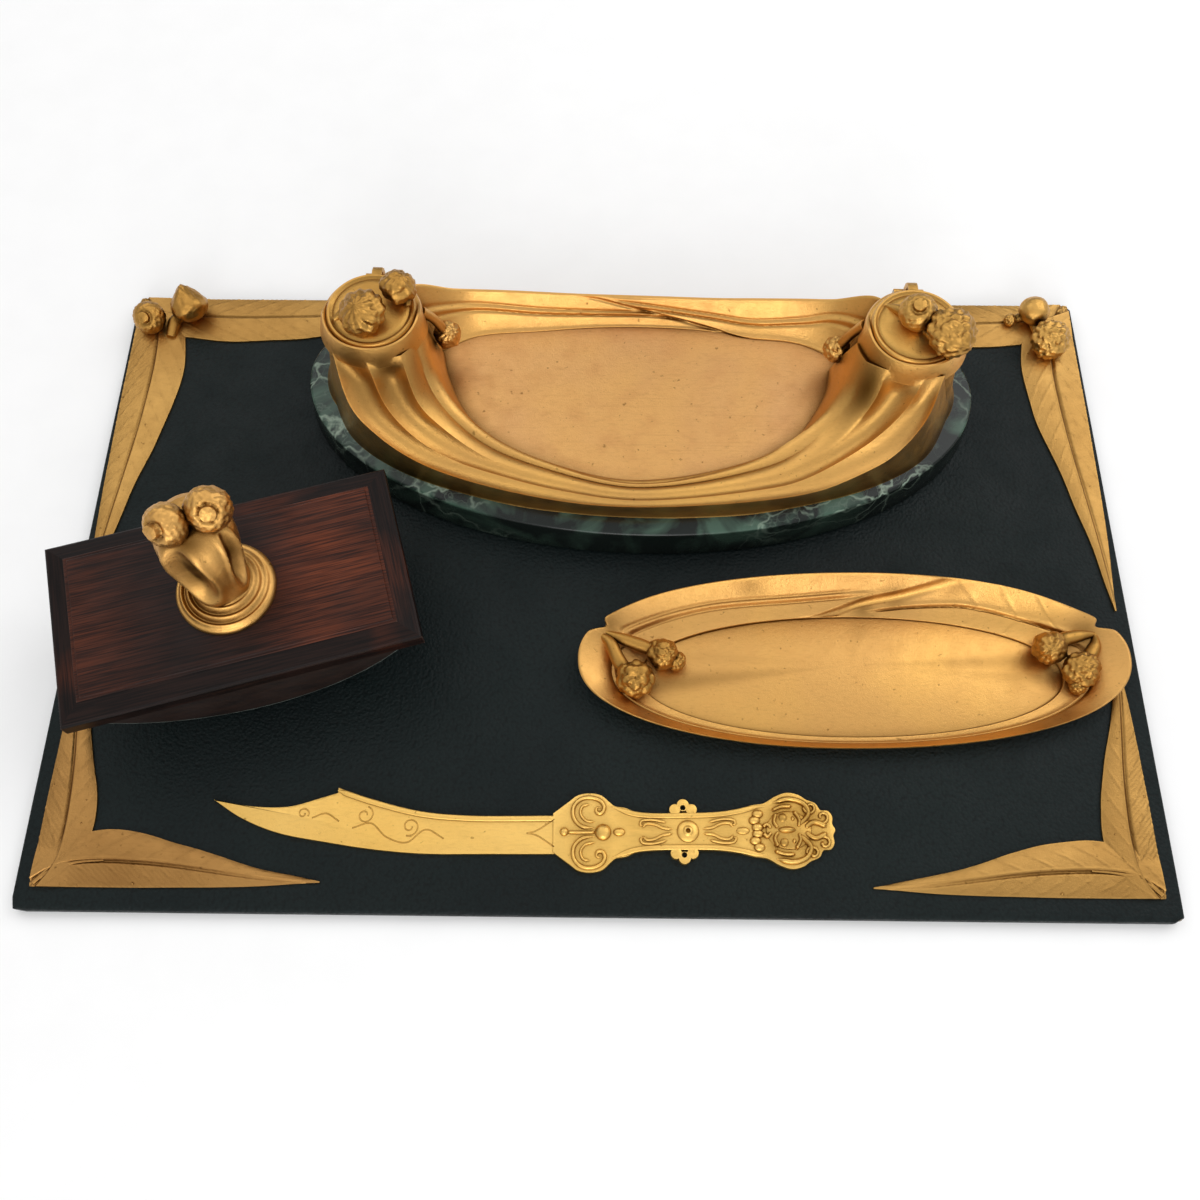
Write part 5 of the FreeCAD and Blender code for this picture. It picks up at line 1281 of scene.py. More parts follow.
def tray_dish():
    """Dish with a crisp floor line: leaves along its rear rim, a folded rim round its ends and front."""
    angles = round_angles(TRAY_ANGLES)
    degrees = np.degrees(angles)
    rim = oval(TRAY_HALF, angles, TRAY_SQUARE_SHARE)
    floor = oval(TRAY_FLOOR_HALF, angles, TRAY_FLOOR_SQUARE_SHARE)
    floor[:, 1] += TRAY_FLOOR_SHIFT
    rise = TRAY_LIP + TRAY_REAR_RISE * np.sin(angles) + RIM_WAVE * np.sin(RIM_WAVES * angles + RIM_WAVE_START)
    dent = sum(bell(degrees, notch, NOTCH_WIDTH) for notch in TRAY_NOTCHES)
    rim = rim * (1 - NOTCH_SHARE * dent)[:, None]
    rise = rise - NOTCH_DEPTH * dent
    rise = rise - sum(depth * bell(degrees, place, width) for place, width, depth in RIM_DIPS)
    first, last = TRAY_NOTCHES
    behind = eased((degrees - first) / NOTCH_RUN) * eased((last - degrees) / NOTCH_RUN)
    ends = FOLD_LEAST_SHARE + (1 - FOLD_LEAST_SHARE) * np.cos(angles) ** 4
    step = STEP_HEIGHT + STEP_WAVE * np.sin(STEP_WAVES * angles + STEP_WAVE_START)
    top, under = [], []
    for share in np.linspace(0, 1, RIM_ROWS) ** RIM_ROW_POWER:
        line = floor + (rim - floor) * share
        level = TRAY_SHEET + (rise - TRAY_SHEET) * (0.5 * share + 0.5 * share ** RIM_CURVE_POWER)
        relief = REAR_RELIEF * rear_relief(share, line[:, 0]) * behind + rim_fold(share) * ends * (1 - behind)
        relief = relief * eased(share / RELIEF_START_SHARE) * eased((1 - share) / RELIEF_END_SHARE)
        relief = relief - RIM_ROUND * bell(share, 1, RIM_ROUND_SHARE)
        edge = step * eased(share / STEP_SHARE) * np.exp(-share / STEP_FADE_SHARE)
        edge = edge - STEP_LINE * bell(share, 0, STEP_LINE_SHARE)
        top.append(np.column_stack([line, level + relief + edge]))
        under.append(np.column_stack([line, level - TRAY_SHEET + RIM_THINNING * share]))
    hub = np.column_stack([floor * FLOOR_HUB_SHARE, np.zeros(len(floor))])
    inner = np.column_stack([floor * FLOOR_EDGE_SHARE, np.full(len(floor), TRAY_SHEET)])
    return rows_solid([hub] + under + top[::-1] + [inner, hub + (0, 0, TRAY_SHEET)])


def pen_tray(material, bud_material):
    place = (*middle("pen_tray")[:2], PAD_TOP)
    dish = fused("pen_tray_dish", [moved(tray_dish(), place, TRAY_YAW)])
    shade_spots(dish, TRAY_SHADES, place, TRAY_YAW, TRAY_SHADE_REACH)
    fit(dish, material, "tray", "gilt_bronze", "pen_tray")
    for side, table in TRAY_BUDS.items():
        bud_group("tray_bud_group_" + side, table, place, TRAY_YAW, bud_material, "tray",
                  "tray_buds_" + side, TRAY_STEMS[side])


# Rocker's top board: inset from the edge and height
TOP_SIZE = (152.0, 85.0)
TOP_BORDER = 8.6
TOP_PROFILE = ((0.7, 0), (0, 0.7), (0, 6.8), (0.3, 7.5), (1.1, 8.0), (8.0, 9.8), (8.5, 10.0), (8.6, 10.4),
               (8.9, 10.6), (9.9, 10.6), (10.2, 10.9), (10.3, 11.3), (10.8, 11.6))
STUD_HOLE = 3.0
STUD_HOLE_DEPTH = 20
# Blotting paper: radius outside and inside, top of the rocker above its lowest line, fold and half width
PAPER_RADII = (88.5, 88.02)
ROCKER_RISE = 36.0
PAPER_FOLD = 14.0
PAPER_HALF = 38.0
# Paper's divisions round the curve and across, rounding and lift of its folds, and waves of its edges
PAPER_STEPS, PAPER_ROWS = 70, 12
PAPER_BEND, PAPER_LIFT = 0.2, 0.02
PAPER_WAVE, PAPER_WAVE_SCALE = 0.15, 0.9


def top_outline(inset):
    signs = np.array(((-1, -1), (1, -1), (1, 1), (-1, 1)))
    return signs * (np.array(TOP_SIZE) / 2 - inset)


def rocker_top(material):
    place = (*ROCKER_PLACE, low("rocker_top")[2])
    board = rows_solid(profile_rings(top_outline, TOP_PROFILE))
    hole = turned(((STUD_HOLE, -HOLE_OVERRUN), (STUD_HOLE, STUD_HOLE_DEPTH)), HOLE_SIDES)
    piece = fused("rocker_top_board", [moved(board, place, ROCKER_YAW)], [moved(hole, place)])
    fit(piece, material, "rocker_board", "rosewood", "rocker_top", crease=12)


def blotting_paper(material):
    """Sheet round the rocker's curve, its ends folded over the rocker's top."""
    outer, inner = PAPER_RADII
    thickness = outer - inner
    depth = inner - ROCKER_RISE
    reach = math.acos(depth / inner)
    swing = np.linspace(-reach, reach, PAPER_STEPS)
    half = inner * math.sin(reach)
    arcs = [np.column_stack([radius * np.sin(turn), inner - radius * np.cos(turn)])
            for radius, turn in ((outer, swing), (inner, swing[::-1]))]
    right = [(half + thickness, ROCKER_RISE + PAPER_BEND), (half, ROCKER_RISE + thickness),
             (half - PAPER_FOLD, ROCKER_RISE + thickness), (half - PAPER_FOLD, ROCKER_RISE + PAPER_LIFT)]
    left = [(-x, height) for x, height in right[::-1]]
    outline = np.concatenate([arcs[0], right, arcs[1], left])
    rings = np.array([np.column_stack([outline[:, 0], np.full(len(outline), y), outline[:, 1]])
                      for y in np.linspace(-PAPER_HALF, PAPER_HALF, PAPER_ROWS)])
    rings[[0, -1], :, 1] += PAPER_WAVE * ripples(rings[[0, -1]], PAPER_WAVE_SCALE)
    place = (*ROCKER_PLACE, low("rocker_base")[2])
    piece = fused("blotting_sheet", [moved(rows_solid(rings), place, ROCKER_YAW)])
    fit(piece, material, "rocker", "blotting_paper", "blotting_paper")


# Knob: rippled foot, leaning cup of folded leaves and two buds
KNOB_FOOT = ((21.3, 0), (21.3, 1.2), (20.4, 2.6), (17, 4.2), (13, 6.2), (10.5, 8.5))
FOOT_ROWS, FOOT_SIDES = 70, 140
FOOT_HUB = 0.3
# Ripples of the foot: pitch and rise, least strength, direction of the deepest and spread about it
RIPPLE_PITCH, RIPPLE_RISE = 3.3, 0.85
RIPPLE_LEAST_SHARE, RIPPLE_DIRECTION, RIPPLE_SPREAD = 0.35, 4.0, 0.8
# Radius where the ripples end, outside and inside, and how gently
RIPPLE_OUTSIDE, RIPPLE_OUTSIDE_RUN = 20.8, 2.5
RIPPLE_INSIDE, RIPPLE_INSIDE_RUN = 10, 2
KNOB_LEAN = (-6.2, 13.5)
# Cup: height and radius
KNOB_CUP = ((2, 13.8), (7, 12.4), (13, 12.8), (20, 14.4), (28, 16.2), (34, 16.2), (38, 14.0), (41, 9.0))
CUP_ROWS, CUP_SIDES = 90, 220
CUP_LEAN_POWER = 1.4
# Hollows of the cup: direction, height, half width, half height and depth
KNOB_HOLLOWS = ((-1.75, 25, 8.8, 15, 5.4), (-0.3, 25, 4.6, 14, 4.0), (1.2, 21, 6, 11, 3.6),
                (2.9, 21, 6, 11, 3.6))
# Raised rim round a hollow: rise, and place and width as shares of the hollow's size
CUP_RIM, CUP_RIM_SHARE, CUP_RIM_WIDTH_SHARE = 0.9, 1.1, 0.2
KNOB_BUDS = (((-11.0, 8.0, 44.6), 9.0, 17.0, "grain", (45, -30)),
             ((4.6, 15.0, 45.0), 9.3, 17.0, "grain", (40, 23)))
# Dark hollows of the cup: x, y, height and darkness
KNOB_SHADES = ((-4.6, -3.4, 28, 1.0), (-4.0, -5.4, 21, 1.0), (7.0, 4.6, 27, 1.0), (-3.5, 3, 38, 1.0))
KNOB_SHADE_REACH = 6.5


def knob_foot():
    """Round foot with ripples that wind about the stem, deepest at the front left."""
    angles = round_angles(FOOT_SIDES)
    deep = eased(0.5 + RIPPLE_SPREAD * np.cos(angles - RIPPLE_DIRECTION))
    deep = RIPPLE_LEAST_SHARE + (1 - RIPPLE_LEAST_SHARE) * deep
    hub = np.column_stack([circle(FOOT_HUB, FOOT_SIDES), np.zeros(FOOT_SIDES)])
    rings = [hub]
    for radius, height in smooth_line(KNOB_FOOT, FOOT_ROWS):
        wave = np.cos(2 * math.pi * radius / RIPPLE_PITCH - angles) * RIPPLE_RISE * deep
        wave = wave * eased((RIPPLE_OUTSIDE - radius) / RIPPLE_OUTSIDE_RUN)
        wave = wave * eased((radius - RIPPLE_INSIDE) / RIPPLE_INSIDE_RUN)
        rings.append(np.column_stack([circle(radius, FOOT_SIDES), height + wave]))
    return rows_solid(rings + [hub + (0, 0, KNOB_FOOT[-1][1])])


def knob_cup():
    """Leaning cup with raised rims round its hollows."""
    heights = np.linspace(KNOB_CUP[0][0], KNOB_CUP[-1][0], CUP_ROWS)
    radius = along_table(KNOB_CUP, heights)[0][:, None]
    angles = np.linspace(-math.pi, math.pi, CUP_SIDES, endpoint=False)[None, :]
    height = heights[:, None]
    reach = radius * (1 + 0 * angles)
    for angle, level, wide, tall, depth in KNOB_HOLLOWS:
        swing = (angles - angle + math.pi) % (2 * math.pi) - math.pi
        away = np.sqrt((swing * radius / wide) ** 2 + ((height - level) / tall) ** 2)
        rim = CUP_RIM * bell(away, CUP_RIM_SHARE, CUP_RIM_WIDTH_SHARE)
        reach = reach - depth * eased(CUP_RIM_SHARE - away ** 2) + rim
    lean = (heights / KNOB_CUP[-1][0])[:, None] ** CUP_LEAN_POWER
    rings = np.stack([reach * np.cos(angles) + KNOB_LEAN[0] * lean,
                      reach * np.sin(angles) + KNOB_LEAN[1] * lean, height + 0 * angles], -1)
    return rows_solid(rings)


def knob(material):
    place = (*ROCKER_PLACE, low("knob")[2])
    solids = [knob_foot(), knob_cup()] + buds(KNOB_BUDS)
    piece = fused("knob_casting", placed(solids, place))
    shade_spots(piece, KNOB_SHADES, place, 0, KNOB_SHADE_REACH)
    fit(piece, material, "rocker_knob", "gilt_bronze", "knob", crease=50)


# Letter opener in its own frame: blade to the left, handle to the right
OPENER_PLACE = (-14.5, -125.0)
BLADE_BACK = ((-154, 16.1), (-136, 13), (-120.4, 12.8), (-107, 16.4), (-99.5, 18.6))
BLADE_SPINE = ((-99.5, 20.9), (-83.9, 15.6), (-62.6, 10.1), (-41.6, 8), (-20.7, 7.6), (-2, 7.6))
BLADE_EDGE = ((-2, -9.1), (-30.7, -8.8), (-61.6, -8.3), (-82.4, -6.3), (-103, -3), (-124.5, 1.3),
              (-140.8, 7.8), (-154, 16.1))
BLADE_STEPS = (50, 60, 120)
# Raised line along the spine: distance in, width, rise, steps, taper and flatness
SPINE_INSET = 1.3
SPINE_LINE = (2.4, 0.8)
SPINE_STEPS, SPINE_TAPER_SHARE, SPINE_FLATNESS = 60, 0.04, 0.4
BLADE_THICKNESS = 1.8
HANDLE_THICKNESS = 2.2
RELIEF = 1.1
# Places of the handle darkened with painted shade: x, y, height and darkness
OPENER_SHADES = ((94, 6, 2.2, 0.65), (94, -6, 2.2, 0.65), (106, 6, 2.2, 0.65), (106, -6, 2.2, 0.65),
                 (10, 0, 2.2, 0.4), (37, 0, 2.2, 0.35), (71, 0, 2.2, 0.35), (100, 0, 2.2, 0.6))
OPENER_SHADE_REACH = 8.0
HANDLE_EDGE = ((-4.6, 8.4), (2.7, 13.8), (6, 16.2), (11.4, 17.2), (16.6, 16.2), (20.2, 13.2), (22.5, 11.4),
               (27, 10.6), (31.3, 8.9), (38.2, 8.1), (52, 8), (67.6, 8.4), (76.3, 9.6), (82.5, 11.2),
               (87.7, 12), (93.1, 15), (98.5, 16.6), (103.6, 15.4), (106.2, 13.6), (110.6, 11.6),
               (112.4, 8.8), (115.6, 8.4), (117.4, 5.8), (117.2, 2.4), (118.2, 0.6))
HANDLE_STEPS = 240
# Rounded lugs beside the handle: x, distance from its middle and radius, and how far they stand up
HANDLE_LUGS = ((48.7, 9.4, 2.5), (55.9, 9.4, 2.5), (52.3, 11.4, 2.7))
LUG_RISE, LUG_SIDES = 0.5, 28
# Bosses on the handle, and one before the mask: place, radius, rise and stretch
HANDLE_BOSSES = (((17.2, 0), 3.5, 2.2, 1.0), ((54.1, 0), 4.8, 1.5, 1.0), ((54.1, 0), 2.9, 2.1, 1.0),
                 ((24.2, 0), 1.7, 1.3, 1.5), ((0.3, 0.4), 1.8, 1.4, 1.0))
NECK_BOSS = ((78, 0), 1.6, 0.9, 1.8)
# Stem of the guard, its scrolls and the handle's border: points, and width, rise and flatness
GUARD_STEM = ((1.5, 0.2), (6, 0), (14, 0))
GUARD_STEM_SIZE = (1.5, 1.0)
GUARD_SCROLL = ((13.5, 1.8), (8, 2.6), (4.6, 6), (4.4, 11), (7.4, 14.4), (12, 15.2), (16.6, 13.4),
                (18, 10.4))
GUARD_SCROLL_END = ((15.6, 9.9), 10, -0.9, 2.2, 0.9, 8)
GUARD_SCROLL_SIZE = (1.8, 1.1, 1.0)
INNER_SCROLL = ((13.6, 4.4), (9.6, 5.2), (7.4, 8.2), (8.4, 11.4), (11.6, 12.2))
INNER_SCROLL_SIZE = (1.2, 0.8, 1.0)
BORDER = ((21, 11.2), (25, 9.6), (31, 7.8), (38, 7.0), (52, 6.9), (67, 7.2), (76, 8.4), (83, 10.0),
          (88, 10.6))
BORDER_SIZE = (2.2, 0.7, 0.4)
# Facing palmettes: where each starts and which way it runs, and its two lines with their sizes
PALMETTES = ((47.5, -1), (60.7, 1))
PALMETTE_LINES = (
    (((0, 1.0), (4, 1.5), (8, 3.2), (11.5, 3.4), (13.2, 1.6)), (1.3, 0.8, 0.8)),
    (((2.5, 3.8), (6.5, 4.8), (10, 5.2), (13.5, 4.6), (14, 3.0), (12.6, 2.6)), (1.2, 0.8, 0.8)))
# Leaf mask: bosses on its middle line, lines beside it with width and rise, curls and paired bosses
MASK_BOSSES = (((98, 0), 8.4, 1.3, 1.2), ((97, 0), 1.7, 3.0, 2.4))
MASK_LINES = (
    (((100, 1.4), (104, 3.6), (107, 7.4), (105, 11.6), (99, 13.6), (92, 12.2)), 2.4, 1.7),
    (((102, 1.0), (102.6, 4.4), (100.4, 8.4)), 1.9, 2.2),
    (((93.4, 0.6), (91.6, 3.4), (92.8, 7.4)), 2.0, 2.2),
    (((90.4, 0.8), (88.4, 2.6), (86.6, 1.2)), 1.8, 1.6),
    (((104.6, 0.6), (109, 3.4), (114.6, 1.4)), 2.4, 1.6),
    (((91, 8.6), (95, 10.2), (100, 10.4)), 1.8, 1.6))
MASK_CURLS = (((113, 5.6), 200, 1.1, 3.0, 0.8, 12), ((107.8, 9.8), 160, 1.1, 3.0, 0.8, 12))
MASK_CURL_SIZE = (1.5, 1.2)
MASK_PAIRS = (((99.8, 4.8), 1.2, 1.9, 0.8), ((95.6, 5.2), 2.2, 1.7, 1.0), ((84.4, 1.4), 1.9, 1.6, 1.3),
              ((83.2, 4.4), 1.9, 1.6, 1.3), ((84.8, 7.2), 1.9, 1.6, 1.3))
# Engraving along the blade and near its point: lines and scrolls of each, then the graver's path and tip
ENGRAVING = (
    ((((-16, 0), (-12, 0.9), (-4, 6)), ((-16, 0), (-12, -0.9), (-4, -6)),
      ((-52, -2), (-60, 2), (-68, -3.5), (-77, -1), (-84, 5), (-92, 3))),
     (((-67, 3.4), 250, 1.3, 4.2, 1.0, 18), ((-87, 8.6), 70, -1.2, 4.0, 1.0, 18))),
    ((((-98, 6), (-104, 9.5), (-110, 7.6)),),
     (((-114, 9.6), 330, 1.1, 2.6, 0.8, 14),)))
GRAVER_HEIGHT, GRAVER_RADIUS = 0.12, 0.4
GRAVER_STEPS, GRAVER_SIDES = 50, 8
# Holes of the lugs and of the handle's middle boss: place, radius, bottom and top
LUG_HOLE_PLACE, LUG_HOLE = (52.2, 10.2), (1.2, -2, 6)
BOSS_HOLE_PLACE, BOSS_HOLE = (54.1, 0), (1.1, HANDLE_THICKNESS, 8)
# Rounded edges: bevel of a plate and its middle step, ends and steps of a strip, steps of a boss
EDGE_BEVEL, BEVEL_SHARE = 0.35, 0.3
STRIP_COUNT, STRIP_TAPER_SHARE, STRIP_END_SHARE, STRIP_STEPS = 40, 0.12, 0.25, 11
BOSS_STEPS, BOSS_SIDES, BOSS_TIP = 10, 40, 0.02


def leftward(ahead):
    """Unit directions to the left of directions in the plane."""
    return np.column_stack([-ahead[:, 1], ahead[:, 0]]) / np.linalg.norm(ahead, axis=1)[:, None]


def plate(outline, thickness):
    """Flat plate from a closed outline, with its upper edge rounded off."""
    outline = np.asarray(outline, float)
    ahead = np.roll(outline, -1, 0) - np.roll(outline, 1, 0)
    inward = leftward(ahead)
    area = np.sum(outline[:, 0] * np.roll(outline[:, 1], -1) - outline[:, 1] * np.roll(outline[:, 0], -1))
    inward = inward * np.sign(area)
    part = BEVEL_SHARE * EDGE_BEVEL
    steps = ((0, 0), (0, thickness - EDGE_BEVEL), (part, thickness - part), (EDGE_BEVEL, thickness))
    return rows_solid(profile_rings(lambda inset: outline + inward * inset, steps))


def ridge(points, width, rise, square=1.0, level=HANDLE_THICKNESS, count=STRIP_COUNT,
          taper=STRIP_TAPER_SHARE):
    """Strip along a line on a plate, half round or flatter, tapered at both ends."""
    line = smooth_line(points, count)
    ahead = np.gradient(line, axis=0)
    side = leftward(ahead)
    share = np.linspace(0, 1, count)
    size = STRIP_END_SHARE + (1 - STRIP_END_SHARE) * eased(np.minimum(share, 1 - share) / taper)
    angles = np.linspace(0, math.pi, STRIP_STEPS)
    across = np.concatenate([np.cos(angles), (-1, 1)]) * width / 2
    up = np.concatenate([np.sin(angles) ** square * rise, (-RELIEF, -RELIEF)])
    flat = line[:, None] + side[:, None] * across[None, :, None] * size[:, None, None]
    height = level + np.where(up > 0, up[None, :] * size[:, None], up[None, :])
    return rows_solid(np.concatenate([flat, height[..., None]], -1))


def both_sides(points, *size):
    """The same strip on both sides of the handle's middle line."""
    return [ridge(line, *size) for line in (points, [(x, -y) for x, y in points])]


def spiral(centre, start, turns, first, last, count):
    """Points of a scroll that winds in towards its centre."""
    share = np.linspace(0, 1, count)
    angle = math.radians(start) + 2 * math.pi * turns * share
    reach = first + (last - first) * share
    return np.column_stack([centre[0] + reach * np.cos(angle), centre[1] + reach * np.sin(angle)]).tolist()


def dome(place, radius, rise, stretch=1.0, level=HANDLE_THICKNESS):
    """Boss on a plate."""
    angles = np.linspace(0, math.pi / 2, BOSS_STEPS)
    outline = [(radius, -RELIEF)]
    outline += [(radius * math.cos(angle) + BOSS_TIP, rise * math.sin(angle)) for angle in angles]
    points, faces = turned(outline, BOSS_SIDES)
    return points * (stretch, 1, 1) + (*place, level), faces


def blade_solids():
    back, spine, edge = [smooth_line(line, count) for line, count
                         in zip((BLADE_BACK, BLADE_SPINE, BLADE_EDGE), BLADE_STEPS)]
    line = np.array(BLADE_SPINE) - (0, SPINE_INSET)
    return [plate(np.concatenate([back, spine, edge[:-1]]), BLADE_THICKNESS),
            ridge(line, *SPINE_LINE, SPINE_FLATNESS, BLADE_THICKNESS, SPINE_STEPS, SPINE_TAPER_SHARE)]


def handle_solids():
    upper = smooth_line(HANDLE_EDGE, HANDLE_STEPS)
    solids = [plate(np.concatenate([upper, (upper * (1, -1))[::-1]]), HANDLE_THICKNESS)]
    for side in (1, -1):
        for x, y, radius in HANDLE_LUGS:
            solids.append(plate(circle(radius, LUG_SIDES, (x, side * y)), HANDLE_THICKNESS + LUG_RISE))
    return solids


def handle_relief():
    """Scrolls of the guard, flat raised borders, bosses and two facing palmettes."""
    solids = [dome(*boss) for boss in HANDLE_BOSSES]
    solids += [ridge(GUARD_STEM, *GUARD_STEM_SIZE), dome(*NECK_BOSS)]
    solids += both_sides([*GUARD_SCROLL, *spiral(*GUARD_SCROLL_END)], *GUARD_SCROLL_SIZE)
    solids += both_sides(INNER_SCROLL, *INNER_SCROLL_SIZE)
    solids += both_sides(BORDER, *BORDER_SIZE)
    for start, way in PALMETTES:
        for line, size in PALMETTE_LINES:
            solids += both_sides([(start + way * x, y) for x, y in line], *size)
    return solids


def mask_relief():
    """Stylised leaf mask, its chin towards the blade."""
    solids = [dome(*boss) for boss in MASK_BOSSES]
    for line, width, rise in MASK_LINES:
        solids += both_sides(line, width, rise)
    for curl in MASK_CURLS:
        solids += both_sides(spiral(*curl), *MASK_CURL_SIZE)
    for side in (1, -1):
        solids += [dome((x, side * y), *size) for (x, y), *size in MASK_PAIRS]
    return solids


def engraving():
    """Scrolls and a pointed panel cut into the blade."""
    height = np.full(GRAVER_STEPS, BLADE_THICKNESS + GRAVER_HEIGHT)
    lines = []
    for plain, scrolls in ENGRAVING:
        lines += [*plain, *[spiral(*scroll) for scroll in scrolls]]
    return [tube(np.column_stack([smooth_line(line, GRAVER_STEPS), height]), (GRAVER_RADIUS,), GRAVER_SIDES)
            for line in lines]


def opener_hole(x, y, radius, bottom, top):
    return moved(turned(((radius, bottom), (radius, top)), PIN_HOLE_SIDES), (x, y, 0))


def letter_opener(material):
    place = (*OPENER_PLACE, PAD_TOP)
    x, y = LUG_HOLE_PLACE
    cuts = [opener_hole(x, side * y, *LUG_HOLE) for side in (1, -1)]
    cuts += [opener_hole(*BOSS_HOLE_PLACE, *BOSS_HOLE)] + engraving()
    solids = blade_solids() + handle_solids() + handle_relief() + mask_relief()
    piece = fused("letter_opener_casting", placed(solids, place, OPENER_YAW), placed(cuts, place, OPENER_YAW))
    shade_spots(piece, OPENER_SHADES, place, OPENER_YAW, OPENER_SHADE_REACH)
    fit(piece, material, "opener", "gilt_brass", "letter_opener", crease=40)


# Studio: level of the sky, and what each direction adds to it
SKY_LEVEL = 0.36
SKY_LEAN = (0.0, -0.24, 0.5)
# Lights: place and size in metres, power in watts
LIGHTS = {
    "key": ((0.95, 0.65, 1.05), 1.3, 6.3),
    "fill": ((-0.6, 0.85, 1.15), 1.3, 3.6),
    "front": ((0.0, -1.3, 0.6), 0.9, 6.4)}
# Floor: half its size, and how far it lies below the pad, in metres
FLOOR_HALF = 6.0
FLOOR_DROP = 0.0002


def camera():
    yaw, pitch, roll = [math.radians(angle) for angle in (CAMERA_YAW, CAMERA_PITCH, CAMERA_ROLL)]
    ahead = Vector((math.sin(yaw) * math.cos(pitch), math.cos(yaw) * math.cos(pitch), -math.sin(pitch)))
    right = Vector((math.cos(yaw), -math.sin(yaw), 0))
    down = ahead.cross(right)
    right, down = (right * math.cos(roll) + down * math.sin(roll),
                   down * math.cos(roll) - right * math.sin(roll))
    lens = bpy.data.cameras.new("camera")
    lens.lens = CAMERA_LENS
    lens.sensor_width = CAMERA_SENSOR
    lens.clip_start = MM
    view = scene_object("camera", lens)
    axes = Matrix((right, -down, -ahead)).transposed().to_4x4()
    view.matrix_world = Matrix.Translation(Vector(CAMERA_PLACE) * MM) @ axes
    bpy.context.scene.camera = view


def area_light(name, place, size, power):
    lamp = bpy.data.lights.new(name, "AREA")
    lamp.shape = "DISK"
    lamp.size = size
    lamp.energy = power
    light = scene_object(name, lamp)
    light.location = place
    light.rotation_euler = (-Vector(place)).to_track_quat("-Z", "Y").to_euler()


def sky(name):
    """White light, strongest from above and the front."""
    world = bpy.data.worlds.new(name)
    world.use_nodes = True
    nodes, links = world.node_tree.nodes, world.node_tree.links
    lean = nodes.new("ShaderNodeVectorMath")
    lean.operation = "DOT_PRODUCT"
    lean.inputs[1].default_value = SKY_LEAN
    links.new(nodes.new("ShaderNodeTexCoord").outputs["Generated"], lean.inputs[0])
    level = nodes.new("ShaderNodeMath")
    level.inputs[1].default_value = SKY_LEVEL
    links.new(lean.outputs["Value"], level.inputs[0])
    links.new(level.outputs["Value"], nodes["Background"].inputs["Strength"])
    nodes["Background"].inputs["Color"].default_value = (1, 1, 1, 1)
    return world


def studio(floor_look):
    bpy.context.scene.view_settings.view_transform = "Standard"
    bpy.context.scene.world = sky("studio")
    for name, light in LIGHTS.items():
        area_light(name, *light)
    mesh = bpy.data.meshes.new("floor")
    corners = [(x * FLOOR_HALF, y * FLOOR_HALF, 0) for x, y in ((-1, -1), (1, -1), (1, 1), (-1, 1))]
    mesh.from_pydata(corners, [], [(0, 1, 2, 3)])
    floor = scene_object("floor", mesh)
    floor.location.z = -FLOOR_DROP
    mesh.materials.append(floor_look)


# Gildings: bright and worn tones, patina that also paints shade in the hollows, how far it reaches out of the
# hollows, and the worn floor's height
BRIGHT, WORN, PATINA_AND_SHADE = (0.77, 0.43, 0.118, 1), (0.66, 0.36, 0.11, 1), (0.13, 0.058, 0.01, 1)
GILDINGS = {
    "gilt_bronze": (BRIGHT, WORN, PATINA_AND_SHADE, 0.007),
    "gilt_bronze_tray": (BRIGHT, WORN, PATINA_AND_SHADE, 0.008, (MARBLE_TOP + TRAY_FLOOR) * MM),
    "gilt_bronze_aged": ((0.65, 0.365, 0.095, 1), (0.48, 0.25, 0.058, 1), (0.085, 0.04, 0.008, 1), 0.005),
    "gilt_bronze_leaves": ((0.51, 0.29, 0.085, 1), (0.4, 0.217, 0.06, 1), (0.11, 0.05, 0.01, 1), 0.004),
    # A darker copy of the leaves' gilding: painted shade for the front-left mount, which lies under the
    # rocker's board
    "gilt_bronze_leaves_shaded": ((0.46, 0.245, 0.075, 1), (0.34, 0.17, 0.05, 1), (0.1, 0.045, 0.01, 1), 0.004),
    "gilt_brass": ((0.95, 0.6, 0.17, 1), (0.88, 0.53, 0.13, 1), (0.24, 0.105, 0.012, 1), 0.004)}
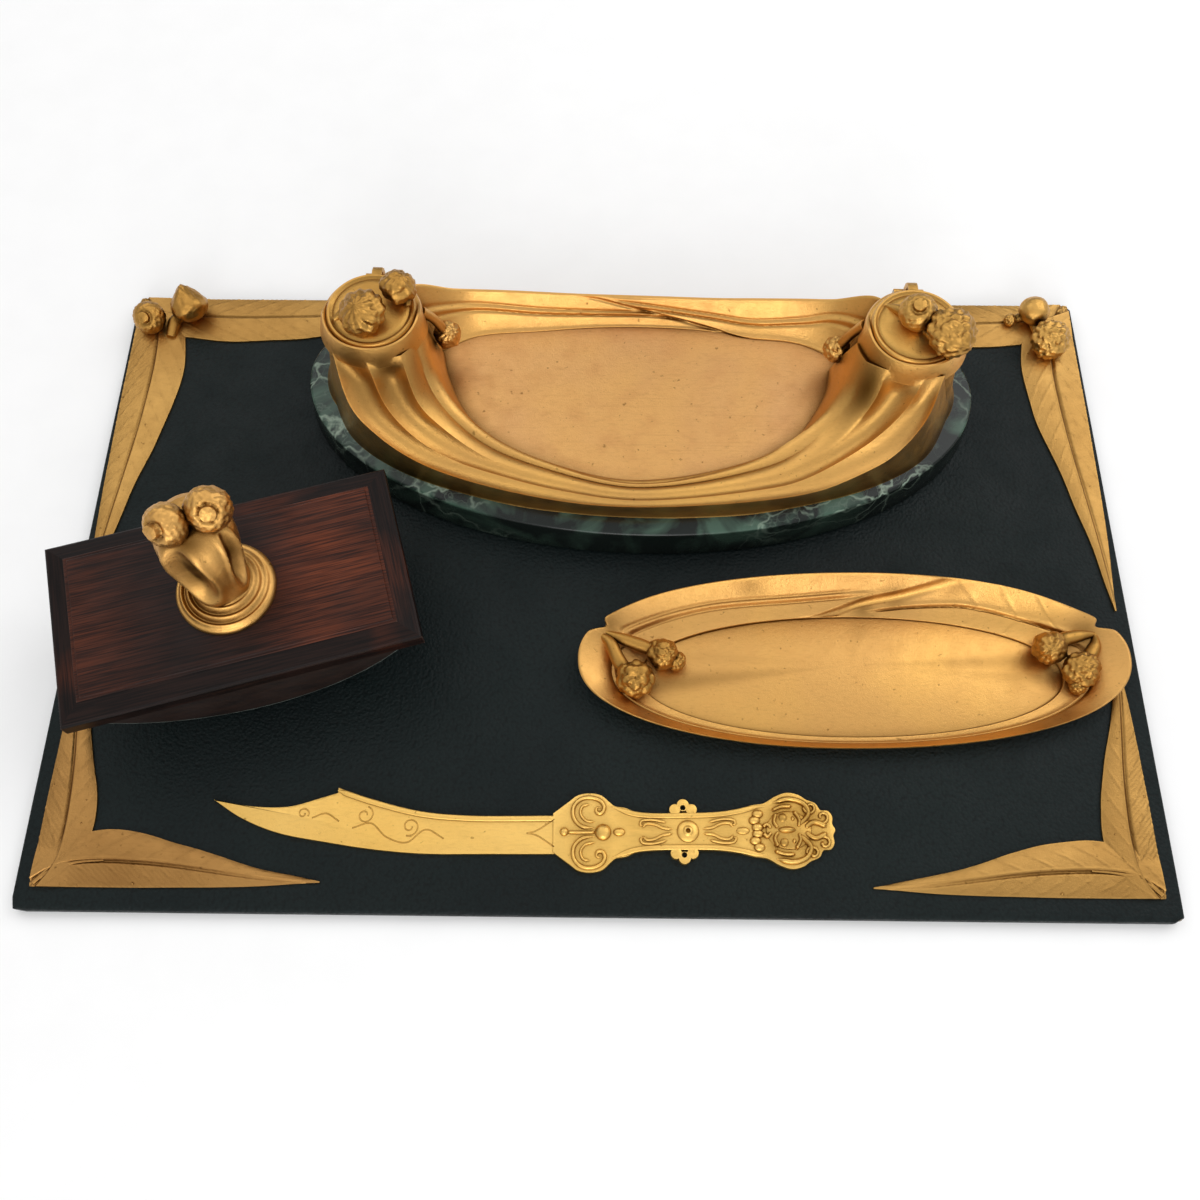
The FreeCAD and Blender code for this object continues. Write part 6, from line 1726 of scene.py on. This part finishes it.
# Plain materials: light and dark tone, scale of the grain, roughness, depth, then metal and stretch if any
PLAIN_LOOKS = {
    "lining": ((0.03, 0.05, 0.045, 1), (0.018, 0.03, 0.027, 1), 1400, 0.9, 0.0001),
    "felt": ((0.03, 0.08, 0.05, 1), (0.015, 0.045, 0.03, 1), 1800, 0.95, 0.0003),
    # Blotting paper: dark green, made darker still as painted shade under the rocker's top board
    "blotting_paper": ((0.075, 0.09, 0.08, 1), (0.05, 0.062, 0.055, 1), 2200, 0.95, 0.0001),
    "board": ((0.28, 0.25, 0.2, 1), (0.2, 0.17, 0.13, 1), 900, 0.9, 0.0002),
    "brass_plain": ((0.62, 0.46, 0.2, 1), (0.5, 0.35, 0.14, 1), 700, 0.4, 0.00005, 1.0),
    "steel": ((0.5, 0.5, 0.5, 1), (0.36, 0.36, 0.36, 1), 900, 0.35, 0.00004, 1.0, (1, 1, 0.1)),
    # Rocker wood: dark rosewood made darker still, painted shade under the rocker's top board
    "rocker_wood": ((0.018, 0.008, 0.005, 1), (0.008, 0.004, 0.003, 1), 260, 0.5, 0.0001, 0.0, (0.1, 1, 1)),
    "floor_white": ((0.96, 0.96, 0.96, 1), (0.945, 0.945, 0.945, 1), 40, 0.8, 0.0)}
# CAD pieces that show as they are, by their material
PLAIN_PIECES = {
    "board": ("pad_board",),
    "brass_plain": ("corner_rivets", "knob_insert"),
    "steel": ("base_screws", "base_washers", "hinge_pin_left", "hinge_pin_right", "knob_stud"),
    "rocker_wood": ("rocker_base",)}
# Corner mounts: side along X and Y, and gilding
MOUNTS = {
    # The front-left mount takes painted shade, as it lies under the rocker's board
    "front_left": (-1, -1, "gilt_bronze_leaves_shaded"),
    "front_right": (1, -1, "gilt_bronze_leaves"),
    "rear_left": (-1, 1, "gilt_bronze_leaves"),
    "rear_right": (1, 1, "gilt_bronze_leaves")}
SIDES = {"left": -1, "right": 1}

looks = {name: gilt(name, *values) for name, values in GILDINGS.items()}
looks.update((name, two_tone(name, *values)) for name, values in PLAIN_LOOKS.items())
pad_cover(leather("leather"), looks["lining"])
for mount, (x_side, y_side, look) in MOUNTS.items():
    corner_mount(mount, x_side, y_side, looks[look])
for side, way in SIDES.items():
    corner_buds(side, way, looks["gilt_bronze_aged"])
inkstand_base(marble("marble"), looks["felt"])
inkstand(looks["gilt_bronze_tray"])
for side, way in SIDES.items():
    lid(side, way * WELL_X, looks["gilt_bronze_aged"])
pen_tray(looks["gilt_bronze"], looks["gilt_bronze_aged"])
rocker_top(rosewood("rosewood", [size / 2 for size in TOP_SIZE], TOP_BORDER))
blotting_paper(looks["blotting_paper"])
knob(looks["gilt_bronze"])
letter_opener(looks["gilt_brass"])
for look, names in PLAIN_PIECES.items():
    dress(looks[look], *names)
dress(pressed_glass("pot_glass"), "ink_pot_left", "ink_pot_right")
camera()
studio(looks["floor_white"])
